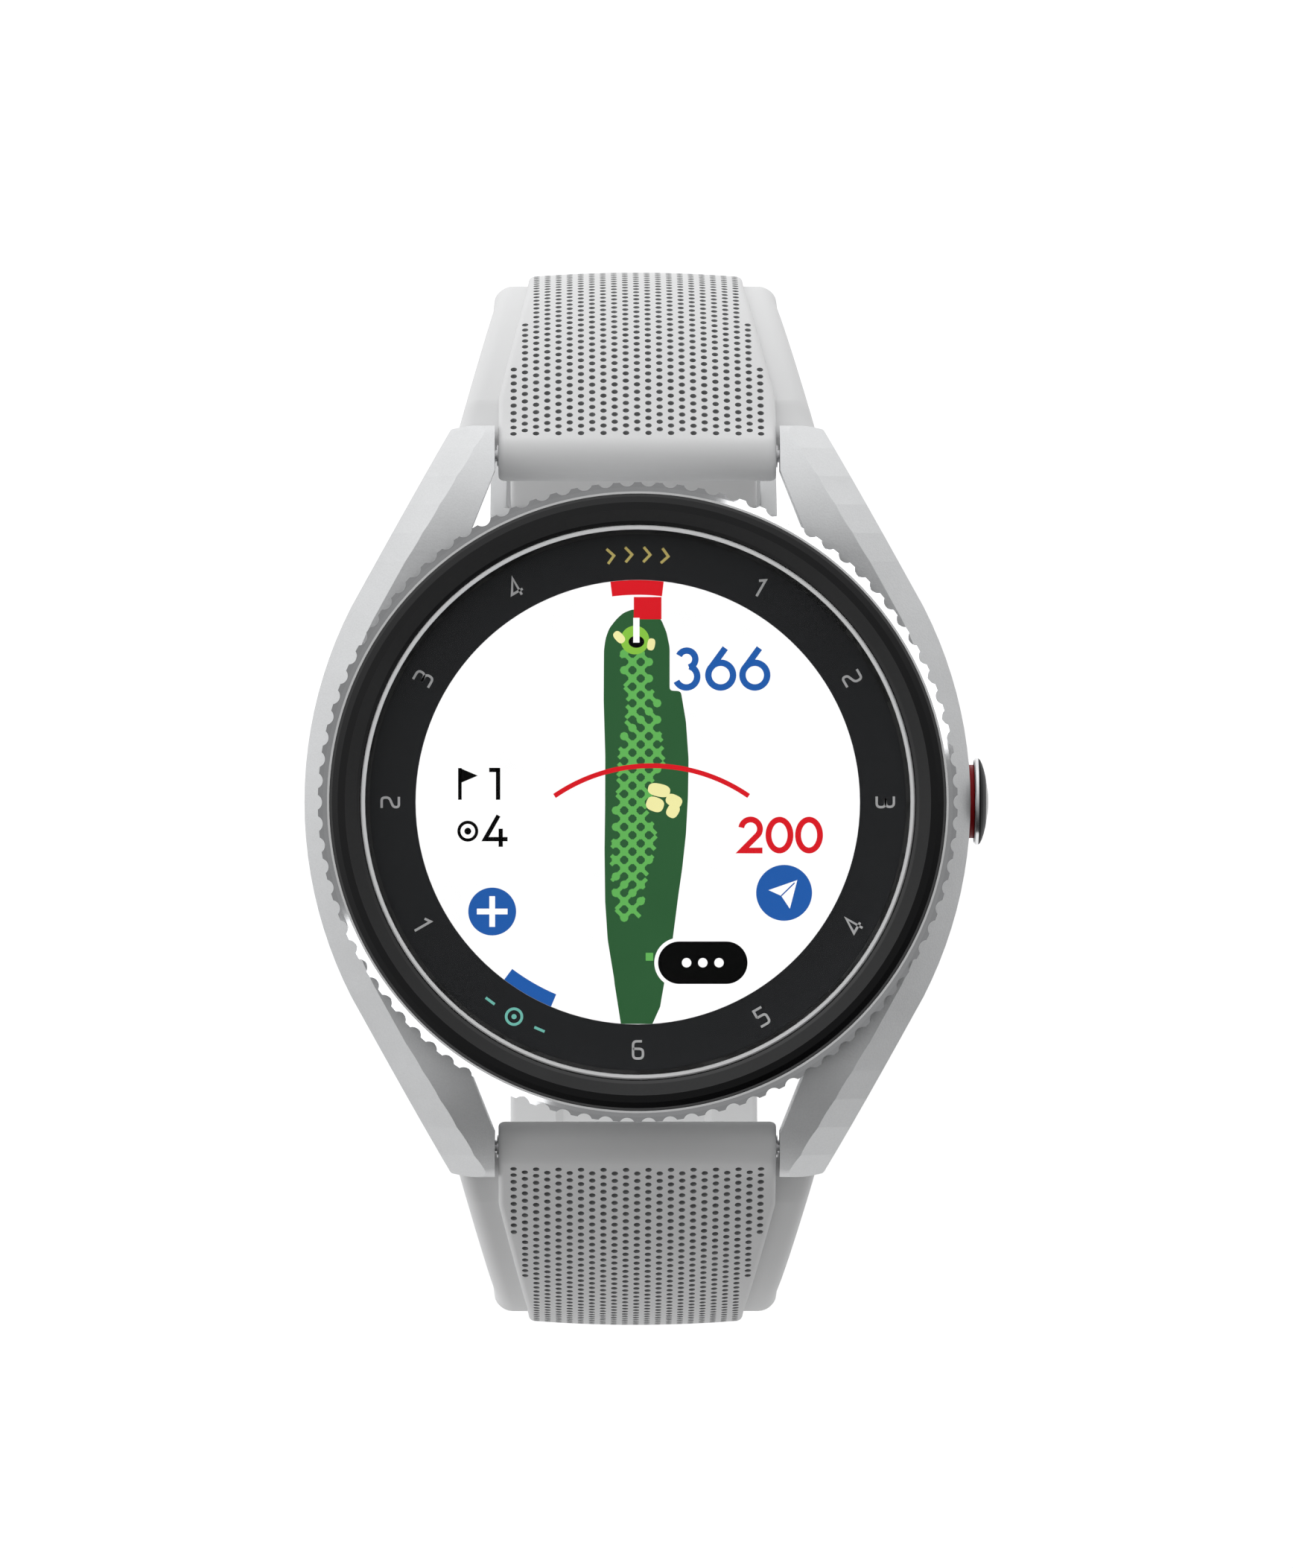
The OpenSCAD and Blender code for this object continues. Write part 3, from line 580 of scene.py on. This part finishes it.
def strap_band(lower):
    """Core rolled round the spring bar, carrying on as the raised dimpled band."""
    rings = []
    for deg in (6, 14, 24, 36, 48, 60, 72, 82):
        a = math.radians(deg)
        s = -END_R * math.cos(a)
        h = END_R * math.sin(a)
        inset = 0.5 * (1 - min(1.0, math.sin(a) * 1.6)) ** 2
        r = min(0.45, h * 0.6)
        rings.append(ring_at(lambda t: s, band_width,
                             profile(END_R - h, END_R + h, r, r), lower, inset))
    r_low = CURL_R if lower else IN_R
    tip = math.asin(BAND_TIP / (r_low + BAND_T)) * r_low
    bend = math.asin(BAND_ROUND / (r_low + BAND_T)) * r_low
    stations = [0.0, 0.6, 1.2, 1.8, 2.4, 3.0, 3.4, 3.8] + spread(4.2, EQUATOR + bend, 0.45)
    for i in range(1, 13):
        stations.append(EQUATOR + bend + (tip - bend) * math.sin(math.radians(90 * i / 12)))
    for s in stations:
        t0 = 0.9 * step(s, 2.9, 3.9)
        pts = profile(t0, BAND_T, 0.45 if s < 3 else 0.2, 0.4)
        rings.append(ring_at(lambda t: s, band_width, pts, lower, 0.0,
                             CROWN * step(s, -0.5, 2.0)))
    return loft("strap_band", rings)


DIMPLE_PITCH = 0.79
DIMPLE_SIDES = 12
DIMPLE_COLUMNS, DIMPLE_ROWS = range(-11, 12), 60
DIMPLE_EDGE = 0.5              # room left between a dimple's centre and the band's side
DIMPLE_REACH = 13.0            # the last row's run beyond the arc's level point
# (height above the band's face, radius) from a cutter's mouth to its floor
DIMPLE_CUT = ((0.2, 0.235), (-0.28, 0.225), (-0.35, 0.14))


def run_under(u, low_r):
    """Run along the inner face under a point at length u along the band's outer face."""
    bend = (IN_R + BAND_T) * math.radians(TH0)
    if u <= RUN:
        return u
    if u <= RUN + bend:
        return RUN + (u - RUN) * IN_R / (IN_R + BAND_T)
    return EQUATOR + (u - RUN - bend) * (low_r - BAND_T) / low_r


def dimple_cutters(lower):
    """Dimple cutters of the band, all in one mesh."""
    verts, faces = [], []
    low_r = (CURL_R if lower else IN_R) + BAND_T
    for i in DIMPLE_COLUMNS:
        for j in range(DIMPLE_ROWS):
            s = run_under(0.5 + DIMPLE_PITCH * (j + (0.0 if i % 2 else 0.5)), low_r)
            x = i * DIMPLE_PITCH
            w = band_width(s, BAND_T, lower)
            if abs(x) + DIMPLE_EDGE > w or s > EQUATOR + DIMPLE_REACH:
                continue
            face = BAND_T - CROWN * step(s, -0.5, 2.0) * (x / w) ** 2
            levels = [place(s, face + height, lower) for height, _ in DIMPLE_CUT]
            ny, nz = levels[0][0] - levels[1][0], levels[0][1] - levels[1][1]
            n = math.hypot(ny, nz)
            ny, nz = ny / n, nz / n
            base = len(verts)
            for (y, z), (_, r) in zip(levels, DIMPLE_CUT):
                for k in range(DIMPLE_SIDES):
                    a = 2 * math.pi * k / DIMPLE_SIDES
                    dx, dv = r * math.cos(a), r * math.sin(a)
                    verts.append((x + dx, y - dv * nz, z + dv * ny))
            for layer in range(2):
                p = base + layer * DIMPLE_SIDES
                for k in range(DIMPLE_SIDES):
                    q = (k + 1) % DIMPLE_SIDES
                    faces.append((p + k, p + q, p + DIMPLE_SIDES + q, p + DIMPLE_SIDES + k))
            faces.append(tuple(base + k for k in range(DIMPLE_SIDES))[::-1])
            faces.append(tuple(base + 2 * DIMPLE_SIDES + k for k in range(DIMPLE_SIDES)))
    tool = new_object("dimples", verts, faces)
    fix_normals(tool)
    return tool


def turned(profile_pts, sides, place_point):
    """Closed solid of revolution; profile (radius, height), placed by a function of (a, b, height)."""
    verts, faces = [], []
    for r, h in profile_pts:
        for k in range(sides):
            a = 2 * math.pi * k / sides
            verts.append(place_point(r * math.cos(a), r * math.sin(a), h))
    for i in range(len(profile_pts) - 1):
        for k in range(sides):
            q = (k + 1) % sides
            faces.append((i * sides + k, i * sides + q, (i + 1) * sides + q, (i + 1) * sides + k))
    faces.append(tuple(range(sides))[::-1])
    faces.append(tuple((len(profile_pts) - 1) * sides + k for k in range(sides)))
    return verts, faces


def merge(name, solids):
    """One object from several solids' points and faces."""
    verts, faces = [], []
    for v, f in solids:
        base = len(verts)
        verts += v
        faces += [tuple(base + i for i in face) for face in f]
    obj = new_object(name, verts, faces)
    fix_normals(obj)
    return obj


def bar_bore(y, z, r):
    """A round cutter along X."""
    return turned([(r, -20), (r, 20)], 32, lambda a, b, h: (h, y + a, z + b))


# (radius, x) of the roll round the buckle's bar, and (radius, height) of a strap hole
ROLL = [(0.9, -9.1), (1.35, -9.02), (1.55, -8.75), (1.6, -8.4),
        (1.6, 8.4), (1.55, 8.75), (1.35, 9.02), (0.9, 9.1)]
HOLE = [(1.5, 1.0), (1.22, 0.24), (1.12, 0.0), (1.1, -0.25),
        (1.1, -2.25), (1.12, -2.5), (1.22, -2.74), (1.5, -3.5)]
HOLE_START, HOLE_STEP, HOLE_COUNT = -78, -12, 7
# (x, y) of the slot that the buckle's tongue swings in
TONGUE_SLOT = [(1.15, -7.6), (1.15, 1.6), (0.9, 1.9), (-0.9, 1.9),
               (-1.15, 1.6), (-1.15, -7.6), (-0.9, -7.9), (0.9, -7.9)]


def strap_hole(degrees):
    """Cutter of one hole, square to the lower half's tighter arc at an angle."""
    a = math.radians(degrees)
    ca, sa = math.cos(a), math.sin(a)
    r = CURL_R + BASE_T
    return turned(HOLE, 32, lambda p, q, h: (
        p, CURL_CY + (r + h) * ca - q * sa, CZ + (r + h) * sa + q * ca))


def make_strap(name, lower):
    """One soft half; both are built at 12 o'clock, and the lower one is mirrored at the end."""
    body = strap_base(lower)
    body.name = name
    boolean(body, strap_band(lower), "UNION")
    if not lower:
        roll = turned(ROLL, 40, lambda a, b, h: (h, FLAT_Y + a, BUCKLE_Z + b))
        boolean(body, merge("roll", [roll]), "UNION")
    # slot 1 is the darker rubber painted into the dimples as shade
    for mat in (mats["strap_rubber"], painted_shade_in_dimples):
        body.data.materials.append(mat)
    cuts = [bar_bore(BAR_Y, BAR_Z, BAR_BORE)]
    if lower:
        cuts += [strap_hole(HOLE_START + HOLE_STEP * i) for i in range(HOLE_COUNT)]
        boolean(body, merge("holes", cuts), "DIFFERENCE")
    else:
        cuts.append(bar_bore(FLAT_Y, BUCKLE_Z, BUCKLE_BORE))
        boolean(body, merge("bores", cuts), "DIFFERENCE")
        slot = [[(x, y, z) for x, y in TONGUE_SLOT] for z in (-54.0, -47.0)]
        boolean(body, loft("slot", slot), "DIFFERENCE")
    tool = dimple_cutters(lower)
    tool.data.materials.append(mats["strap_rubber"])
    tool.data.materials.append(painted_shade_in_dimples)
    # the cutters' faces become the dimples' walls and floors, which take the darker rubber as painted
    # shade
    for poly in tool.data.polygons:
        poly.material_index = 1
    boolean(body, tool, "DIFFERENCE")
    smooth(body, 35)
    if lower:
        body.data.transform(Matrix.Scale(-1, 4, Vector((0, 1, 0))))
        body.data.flip_normals()
    return body


upper = make_strap("strap_upper_soft", False)
lower = make_strap("strap_lower_soft", True)
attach(upper, "upper_strap")
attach(lower, "lower_strap")
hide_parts("strap_upper")
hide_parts("strap_lower")

# the crown's return spring as a real coil; it is built at its resting length and does not shorten as
# the crown goes in
COIL_START, COIL_END, COIL_R, WIRE_R, TURNS = 20.25, 23.11, 1.55, 0.15, 6
COIL_STEPS, WIRE_SIDES = 24, 10
coil = []
for i in range(TURNS * COIL_STEPS + 1):
    a = 2 * math.pi * i / COIL_STEPS
    x = COIL_START + WIRE_R + (COIL_END - COIL_START - 2 * WIRE_R) * i / (TURNS * COIL_STEPS)
    ring = []
    for k in range(WIRE_SIDES):
        b = 2 * math.pi * k / WIRE_SIDES
        r = COIL_R + WIRE_R * math.cos(b)
        ring.append((x + WIRE_R * math.sin(b), r * math.cos(a), CROWN_Z + r * math.sin(a)))
    coil.append(ring)
spring = loft("crown_coil", coil)
spring.data.materials.append(mats["spring_steel"])
smooth(spring, 40)
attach(spring, "case")
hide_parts("crown_spring")
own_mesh(spring)


# ---------------------------------------------------------------- flat drawing helpers

class Drawing:
    """Flat faces at one height, gathered into one mesh."""

    def __init__(self, name, z, mat):
        self.name, self.z, self.mat = name, z, mat
        self.verts, self.faces = [], []

    def polygon(self, pts):
        """A filled outline, turned to face up."""
        base = len(self.verts)
        area = sum(a[0] * b[1] - b[0] * a[1] for a, b in zip(pts, pts[1:] + pts[:1]))
        if area < 0:
            pts = pts[::-1]
        self.verts += [(x, y, self.z) for x, y in pts]
        self.faces.append(tuple(range(base, base + len(pts))))

    def ribbon(self, pts, width, closed=False):
        """A stroke of even width along a line of points."""
        pts = [p for i, p in enumerate(pts) if i == 0 or math.dist(p, pts[i - 1]) > 1e-4]
        n = len(pts)
        left, right = [], []
        for i, (x, y) in enumerate(pts):
            before = pts[i - 1] if i > 0 or closed else None
            after = pts[(i + 1) % n] if i < n - 1 or closed else None
            dirs = []
            if before is not None:
                d = math.dist(before, (x, y))
                dirs.append(((x - before[0]) / d, (y - before[1]) / d))
            if after is not None:
                d = math.dist(after, (x, y))
                dirs.append(((after[0] - x) / d, (after[1] - y) / d))
            tx = sum(d[0] for d in dirs)
            ty = sum(d[1] for d in dirs)
            t = math.hypot(tx, ty) or 1.0
            tx, ty = tx / t, ty / t
            cosine = max(0.4, tx * dirs[0][0] + ty * dirs[0][1])
            h = width / 2 / cosine
            left.append((x - ty * h, y + tx * h))
            right.append((x + ty * h, y - tx * h))
        last = n if closed else n - 1
        for i in range(last):
            j = (i + 1) % n
            self.polygon([right[i], right[j], left[j], left[i]])

    def build(self, body="case"):
        """Makes the mesh, which rides on a body."""
        obj = new_object(self.name, self.verts, self.faces)
        obj.data.materials.append(self.mat)
        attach(obj, body)


def rounded(pts, radius, closed=False):
    """Rounds the corners of a line of points."""
    out = []
    n = len(pts)
    for i, p in enumerate(pts):
        if not closed and i in (0, n - 1):
            out.append(p)
            continue
        a, b = pts[i - 1], pts[(i + 1) % n]
        da, db = math.dist(a, p), math.dist(b, p)
        r = min(radius, da / 2, db / 2)
        pa = (p[0] + (a[0] - p[0]) * r / da, p[1] + (a[1] - p[1]) * r / da)
        pb = (p[0] + (b[0] - p[0]) * r / db, p[1] + (b[1] - p[1]) * r / db)
        for k in range(7):
            u = k / 6
            out.append(((1 - u) ** 2 * pa[0] + 2 * u * (1 - u) * p[0] + u * u * pb[0],
                        (1 - u) ** 2 * pa[1] + 2 * u * (1 - u) * p[1] + u * u * pb[1]))
    return out


# ---------------------------------------------------------------- printed number ring

RING_R = 17.26

# strokes of the square numerals in a box 0.62 wide and 1 high
square_digits = {
    "1": [[(0.02, 0.74), (0.30, 0.93), (0.30, 0.0)]],
    "2": [rounded([(0.02, 0.93), (0.54, 0.93), (0.55, 0.55), (0.06, 0.34), (0.06, 0.06),
                   (0.58, 0.06)], 0.16)],
    "3": [rounded([(0.02, 0.93), (0.54, 0.93), (0.55, 0.52), (0.12, 0.50)], 0.2),
          rounded([(0.12, 0.50), (0.56, 0.50), (0.56, 0.06), (0.02, 0.06)], 0.2)],
    "4": [[(0.66, 0.24), (0.04, 0.24), (0.48, 0.95), (0.48, 0.0)]],
    "5": [[(0.54, 0.93), (0.08, 0.93), (0.08, 0.55)],
          rounded([(0.08, 0.55), (0.56, 0.55), (0.56, 0.06), (0.02, 0.06)], 0.18)],
    "6": [rounded([(0.52, 0.93), (0.07, 0.93), (0.07, 0.06), (0.57, 0.06), (0.57, 0.55),
                   (0.07, 0.55)], 0.2)],
}


def ring_mark(drawing, strokes, angle, size, width, turn, shift=0.0, closed=False):
    """Strokes placed on the ring at an angle clockwise from the top, turned clockwise by turn."""
    a = math.radians(angle)
    cx, cy = RING_R * math.sin(a), RING_R * math.cos(a)
    t = math.radians(-turn)
    for stroke in strokes:
        pts = []
        for u, v in stroke:
            x, y = (u - shift) * size, (v - 0.5) * size
            pts.append((cx + x * math.cos(t) - y * math.sin(t),
                        cy + x * math.sin(t) + y * math.cos(t)))
        drawing.ribbon(pts, width, closed)


numerals = Drawing("ring_numerals", PRINT_Z, ring_print)
for digit, angle, turn in (("1", 30, 30), ("2", 60, 60), ("3", 90, 90), ("4", 120, -60),
                           ("5", 150, -30), ("6", 180, 0), ("1", 240, 60), ("2", 270, -90),
                           ("3", 300, -60), ("4", 330, -30)):
    ring_mark(numerals, square_digits[digit], angle, 1.38, 0.17, turn, 0.31)
numerals.build()

MARK_SIZE = 1.3
marks = Drawing("ring_chevrons", PRINT_Z, ring_yellow)
for angle in (-6.3, -2.1, 2.1, 6.3):
    ring_mark(marks, [[(0.0, 0.9), (0.36, 0.5), (0.0, 0.1)]], angle, MARK_SIZE, 0.19, angle, 0.18)
marks.build()


def ring_of(r, pitch):
    """Closed circle in the middle of a mark's box, with a point every pitch degrees."""
    return [[(r * math.cos(math.radians(a)), 0.5 + r * math.sin(math.radians(a)))
             for a in range(0, 360, pitch)]]


marks = Drawing("ring_target", PRINT_Z, ring_teal)
for angle in (203.4, 216.6):
    ring_mark(marks, [[(-0.3, 0.5), (0.3, 0.5)]], angle, MARK_SIZE, 0.19, angle - 180)
ring_mark(marks, ring_of(0.42, 12), 210, MARK_SIZE, 0.19, 30, closed=True)
ring_mark(marks, ring_of(0.07, 30), 210, MARK_SIZE, 0.18, 30, closed=True)
marks.build()


# ---------------------------------------------------------------- screen picture

LAYER = 0.006                  # height between the picture's layers


def screen(name, layer, mat):
    """A drawing on one layer of the screen."""
    return Drawing(name, SCREEN_Z + LAYER * layer, mat)


# arcs at the edge of the screen
red = screen("screen_red_marks", 3, screen_red)
red.polygon(arc(0, 0, SCREEN_R, 83.3, 97.1, 20) + arc(0, 0, 14.45, 97.1, 83.3, 20))
blue = screen("screen_blue_marks", 3, screen_blue)
blue.polygon(arc(0, 0, SCREEN_R, 233, 247, 20) + arc(0, 0, 14.55, 247, 233, 20))

# rough ground round the fairway
rough_shape = [(-0.34, 13.45), (-1.0, 13.2), (-1.5, 12.75), (-2.0, 12.1), (-2.25, 11.4),
               (-2.36, 10.6), (-2.38, 7.1), (-2.27, 3.2), (-2.28, -0.15), (-2.32, -3.3),
               (-2.28, -6.9), (-2.1, -9.6), (-1.64, -12.4), (-1.3, -17.4), (1.1, -17.4), (1.6, -14.0),
               (1.88, -12.4), (2.4, -9.8), (2.84, -6.4), (3.1, -4.6), (3.36, -2.2), (3.5, 0.4),
               (3.54, 3.0), (3.36, 5.6), (3.0, 7.74), (2.22, 7.78), (2.22, 10.8), (2.0, 11.85),
               (1.62, 12.75), (0.95, 13.3)]
rough = screen("screen_rough", 1, screen_dark)
rough.polygon([(x * min(1.0, SCREEN_R / math.hypot(x, y)), y * min(1.0, SCREEN_R / math.hypot(x, y)))
               for x, y in rounded(rough_shape, 0.25, True)])
rough.build()

# fairway drawn as a net
fairway = [(-1.25, 10.55), (-1.0, 8.5), (-0.75, 7.1), (-0.85, 5.6), (-1.25, 4.3), (-1.4, 2.0),
           (-1.5, -0.2), (-1.8, -2.8), (-1.9, -4.8), (-1.65, -7.0), (-1.35, -8.1), (0.1, -8.1),
           (0.45, -7.4), (0.45, -5.9), (0.95, -4.1), (1.35, -2.8), (1.2, -1.7), (0.6, -0.4),
           (0.95, 1.2), (1.85, 2.7), (1.8, 3.5), (1.5, 5.6), (1.35, 7.1), (0.85, 8.4), (0.85, 10.55)]


def clip_line(px, py, dx, dy, poly):
    """Stretches of a line that lie inside a polygon."""
    hits = []
    for (ax, ay), (bx, by) in zip(poly, poly[1:] + poly[:1]):
        ex, ey = bx - ax, by - ay
        den = dx * ey - dy * ex
        if abs(den) < 1e-9:
            continue
        t = ((ax - px) * ey - (ay - py) * ex) / den
        u = ((ax - px) * dy - (ay - py) * dx) / den
        if 0 <= u < 1:
            hits.append(t)
    hits.sort()
    return [(a, b) for a, b in zip(hits[::2], hits[1::2]) if b - a > 0.15]


net = screen("screen_fairway", 2, screen_green)
NET_PITCH = 1.15
NET_X = 0.2                    # the net's middle
NET_SPAN = range(-26, 27)
FAR_LEFT = 9                   # a line through a node begins this far to its left
for i in NET_SPAN:
    for side in (1, -1):
        px, py = NET_X, i * NET_PITCH
        dx, dy = side * math.sqrt(0.5), math.sqrt(0.5)
        for a, b in clip_line(px, py, dx, dy, fairway):
            net.ribbon([(px + dx * a, py + dy * a), (px + dx * b, py + dy * b)], 0.28)
for i in NET_SPAN:
    for j in NET_SPAN:
        x, y = NET_X + (j - i) * NET_PITCH / 2, (i + j) * NET_PITCH / 2
        if any(a < FAR_LEFT < b for a, b in clip_line(x - FAR_LEFT, y, 1, 0, fairway)):
            net.polygon(arc(x, y, 0.30, 0, 315, 7))
net.build()

# the green, the tee, the bunkers, and the hole with its flag
green = screen("screen_green", 3, screen_lime)
green.polygon(arc(-0.2, 11.3, 1.0, 0, 355, 40))
green.build()
tee = screen("screen_tee", 2, screen_green)
tee.polygon([(0.55, -11.05), (1.07, -11.05), (1.07, -10.5), (0.55, -10.5)])
tee.build()
sand = screen("screen_bunkers", 4, screen_cream)
for cx, cy, rx, ry, tilt in ((-1.3, 11.5, 0.47, 0.3, -48), (0.93, 11.0, 0.42, 0.27, 80),
                             (1.48, 0.84, 0.78, 0.45, -12), (1.2, -0.15, 0.62, 0.5, -20),
                             (2.52, 0.1, 0.58, 0.42, -25), (2.45, -0.6, 0.5, 0.42, 60)):
    c, s = math.cos(math.radians(tilt)), math.sin(math.radians(tilt))
    pts = []
    for k in range(28):
        a = 2 * math.pi * k / 28
        x = rx * math.copysign(abs(math.cos(a)) ** 0.75, math.cos(a))
        y = ry * math.copysign(abs(math.sin(a)) ** 0.75, math.sin(a))
        pts.append((cx + x * c - y * s, cy + x * s + y * c))
    sand.polygon(pts)
sand.build()
hole = screen("screen_hole", 4, screen_black)
hole.polygon([(-0.1 + 0.55 * math.cos(math.radians(a)), 11.18 + 0.42 * math.sin(math.radians(a)))
              for a in range(0, 360, 10)])
pole = screen("screen_pole", 5, screen_white)
pole.polygon([(-0.32, 11.12), (0.12, 11.12), (0.12, 12.85), (-0.32, 12.85)])
red.polygon([(-0.28, 12.75), (1.65, 12.75), (1.65, 14.3), (-0.28, 14.3)])

# the line of one distance, across the hole
red.ribbon(arc(0.96, -9.38, 11.92, 124.6, 55.4, 48), 0.34)

# clean figures built from arcs, in a box 1 high: each one's advance, and its (points, closed) strokes
figures = {
    "0": (0.75, [([(0.375 + 0.31 * math.cos(math.radians(a)), 0.5 + 0.435 * math.sin(math.radians(a)))
                   for a in range(0, 360, 8)], True)]),
    "1": (0.40, [([(0.0, 0.94), (0.34, 0.94)], False), ([(0.28, 1.0), (0.28, 0.0)], False)]),
    "2": (0.68, [(arc(0.325, 0.675, 0.265, 172, -38) + [(0.09, 0.065), (0.66, 0.065)], False)]),
    "3": (0.64, [(arc(0.285, 0.735, 0.205, 155, -75), False),
                 (arc(0.275, 0.32, 0.26, 72, -155), False)]),
    "4": (0.80, [([(0.50, 1.0), (0.07, 0.245), (0.79, 0.245)], False),
                 ([(0.57, 0.58), (0.57, 0.0)], False)]),
    "6": (0.72, [(arc(0.36, 0.355, 0.295, 0, 360, 40)[:-1], True),
                 ([(0.47, 1.0), (0.105, 0.50)], False)]),
}


def write_number(drawing, digits, x, y, height, width, gap=0.10):
    """Figures of one height with their lower left corner at x, y."""
    for d in digits:
        advance, strokes = figures[d]
        for pts, closed in strokes:
            drawing.ribbon([(x + u * height, y + v * height) for u, v in pts], width, closed)
        x += (advance + gap) * height


# generic distances, and a hole's number and score
write_number(blue, "366", 2.58, 7.82, 2.92, 0.45, 0.095)
write_number(red, "200", 7.06, -3.53, 2.47, 0.41, 0.085)
black = screen("screen_black_marks", 3, screen_black)
write_number(black, "1", -10.36, 0.17, 2.21, 0.30)
write_number(black, "4", -10.80, -3.11, 2.18, 0.30)
# a small flag for the hole and a ringed dot for its score
black.ribbon([(-12.4, 0.17), (-12.4, 2.38)], 0.25)
black.polygon([(-12.4, 2.38), (-11.15, 1.85), (-12.4, 1.32)])
black.ribbon(arc(-11.85, -2.02, 0.62, 0, 360, 40)[:-1], 0.22, True)
black.polygon(arc(-11.85, -2.02, 0.24, 0, 345, 24))

# two round buttons: an arrow with a fold, and a plus
blue.polygon(arc(10.2, -6.32, 1.95, 0, 355, 60))
blue.polygon(arc(-10.15, -7.62, 1.67, 0, 355, 60))
white = screen("screen_white_marks", 5, screen_white)
white.polygon([(9.11, -6.13), (11.12, -5.43), (10.6, -7.43), (10.0, -6.53)][::-1])
fold = screen("screen_fold", 6, screen_blue)
fold.ribbon([(10.0, -6.53), (10.93, -5.62)], 0.09)
fold.build()
white.ribbon([(-11.22, -7.62), (-9.08, -7.62)], 0.4)
white.ribbon([(-10.15, -8.69), (-10.15, -6.55)], 0.4)

# a dark pill with three dots
PILL_X, PILL_Y, PILL_HALF, PILL_R, PILL_EDGE = 4.53, -11.19, 1.64, 1.48, 0.26
outline = screen("screen_pill_edge", 3, screen_white)
pill = screen("screen_pill", 4, screen_black)
for drawing, r in ((outline, PILL_R + PILL_EDGE), (pill, PILL_R)):
    drawing.polygon(arc(PILL_X + PILL_HALF, PILL_Y, r, -90, 90)
                    + arc(PILL_X - PILL_HALF, PILL_Y, r, 90, 270))
for x in (3.4, PILL_X, 5.66):
    white.polygon(arc(x, PILL_Y, 0.33, 0, 350, 30))
for drawing in (red, blue, black, white, outline, pill, hole, pole):
    drawing.build()


# ---------------------------------------------------------------- camera, floor and light

# a long lens from about 0.9 m above the dial; the camera's places are in metres
scene = bpy.context.scene
camera = bpy.data.cameras.new("camera")
camera.sensor_fit = "HORIZONTAL"
camera.sensor_width = 36
camera.lens = 360.0
camera.clip_start = 0.05
camera.clip_end = 20
camera_obj = bpy.data.objects.new("camera", camera)
camera_obj.location = (-0.0050, 0.0070, 0.912)
camera_obj.rotation_euler = (-0.00636, -0.00622, 0)
scene.collection.objects.link(camera_obj)
scene.camera = camera_obj

# a pale floor that glows a little, as the photograph's white ground does
low = min(c[2] for c in cad_box)
floor = new_object("floor", [(x * 3000, y * 3000, 0) for x, y in ((-1, -1), (1, -1), (1, 1), (-1, 1))],
                   [(0, 1, 2, 3)])
floor.location = (0, 0, low - FLOOR_DROP * MM)
floor.data.materials.append(grain_material("floor", (0.90, 0.90, 0.90), 0.9, vary=0.01, patch=4,
                                           grain=60, rough_vary=0.02, bump=0.0, spec=0.1))
glow = floor.data.materials[0].node_tree.nodes["Principled BSDF"]
glow.inputs["Emission Color"].default_value = (1, 1, 1, 1)
glow.inputs["Emission Strength"].default_value = 0.62
floor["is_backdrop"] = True

# two low panels light only the bezel's coin edge, which reflects them as bright streaks
edge_only = bpy.data.collections.new("edge_only")
edge_only.objects.link(nodes["bezel_ring"])


def panel(name, place_at, size_x, size_y, power):
    """A rectangular light aimed at the bezel; places and sizes in metres."""
    light = bpy.data.lights.new(name, "AREA")
    light.shape = "RECTANGLE"
    light.size = size_x
    light.size_y = size_y
    light.energy = power
    obj = bpy.data.objects.new(name, light)
    obj.location = place_at
    direction = Vector((0, 0, 0.011)) - Vector(place_at)
    obj.rotation_euler = direction.to_track_quat("-Z", "Y").to_euler()
    obj.visible_camera = False
    obj.light_linking.receiver_collection = edge_only
    scene.collection.objects.link(obj)


panel("side_right", (0.105, 0.092, -0.026), 0.17, 0.052, 0.18)
panel("side_left", (-0.095, -0.105, -0.026), 0.13, 0.052, 0.13)

# the studio: a soft light all round, brighter towards 12 o'clock and the left
world = bpy.data.worlds.new("studio")
world.use_nodes = True
tree = world.node_tree
aim = add(tree, "TexCoord")
lean = add(tree, "VectorMath", {1: (-0.28, 0.575, -0.20)}, operation="DOT_PRODUCT")
lift = add(tree, "Math", {1: 0.66}, operation="ADD")
tree.links.new(aim.outputs["Generated"], lean.inputs[0])
tree.links.new(lean.outputs["Value"], lift.inputs[0])
tree.links.new(lift.outputs[0], tree.nodes["Background"].inputs["Strength"])
tree.nodes["Background"].inputs["Color"].default_value = (0.99, 0.995, 1.0, 1)
scene.world = world
scene.view_settings.view_transform = "Standard"

seen_box = [list(corner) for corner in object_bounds()]
({"cad": [[float(v) for v in c] for c in cad_box],
           "visual": [[float(v) for v in c] for c in seen_box]})
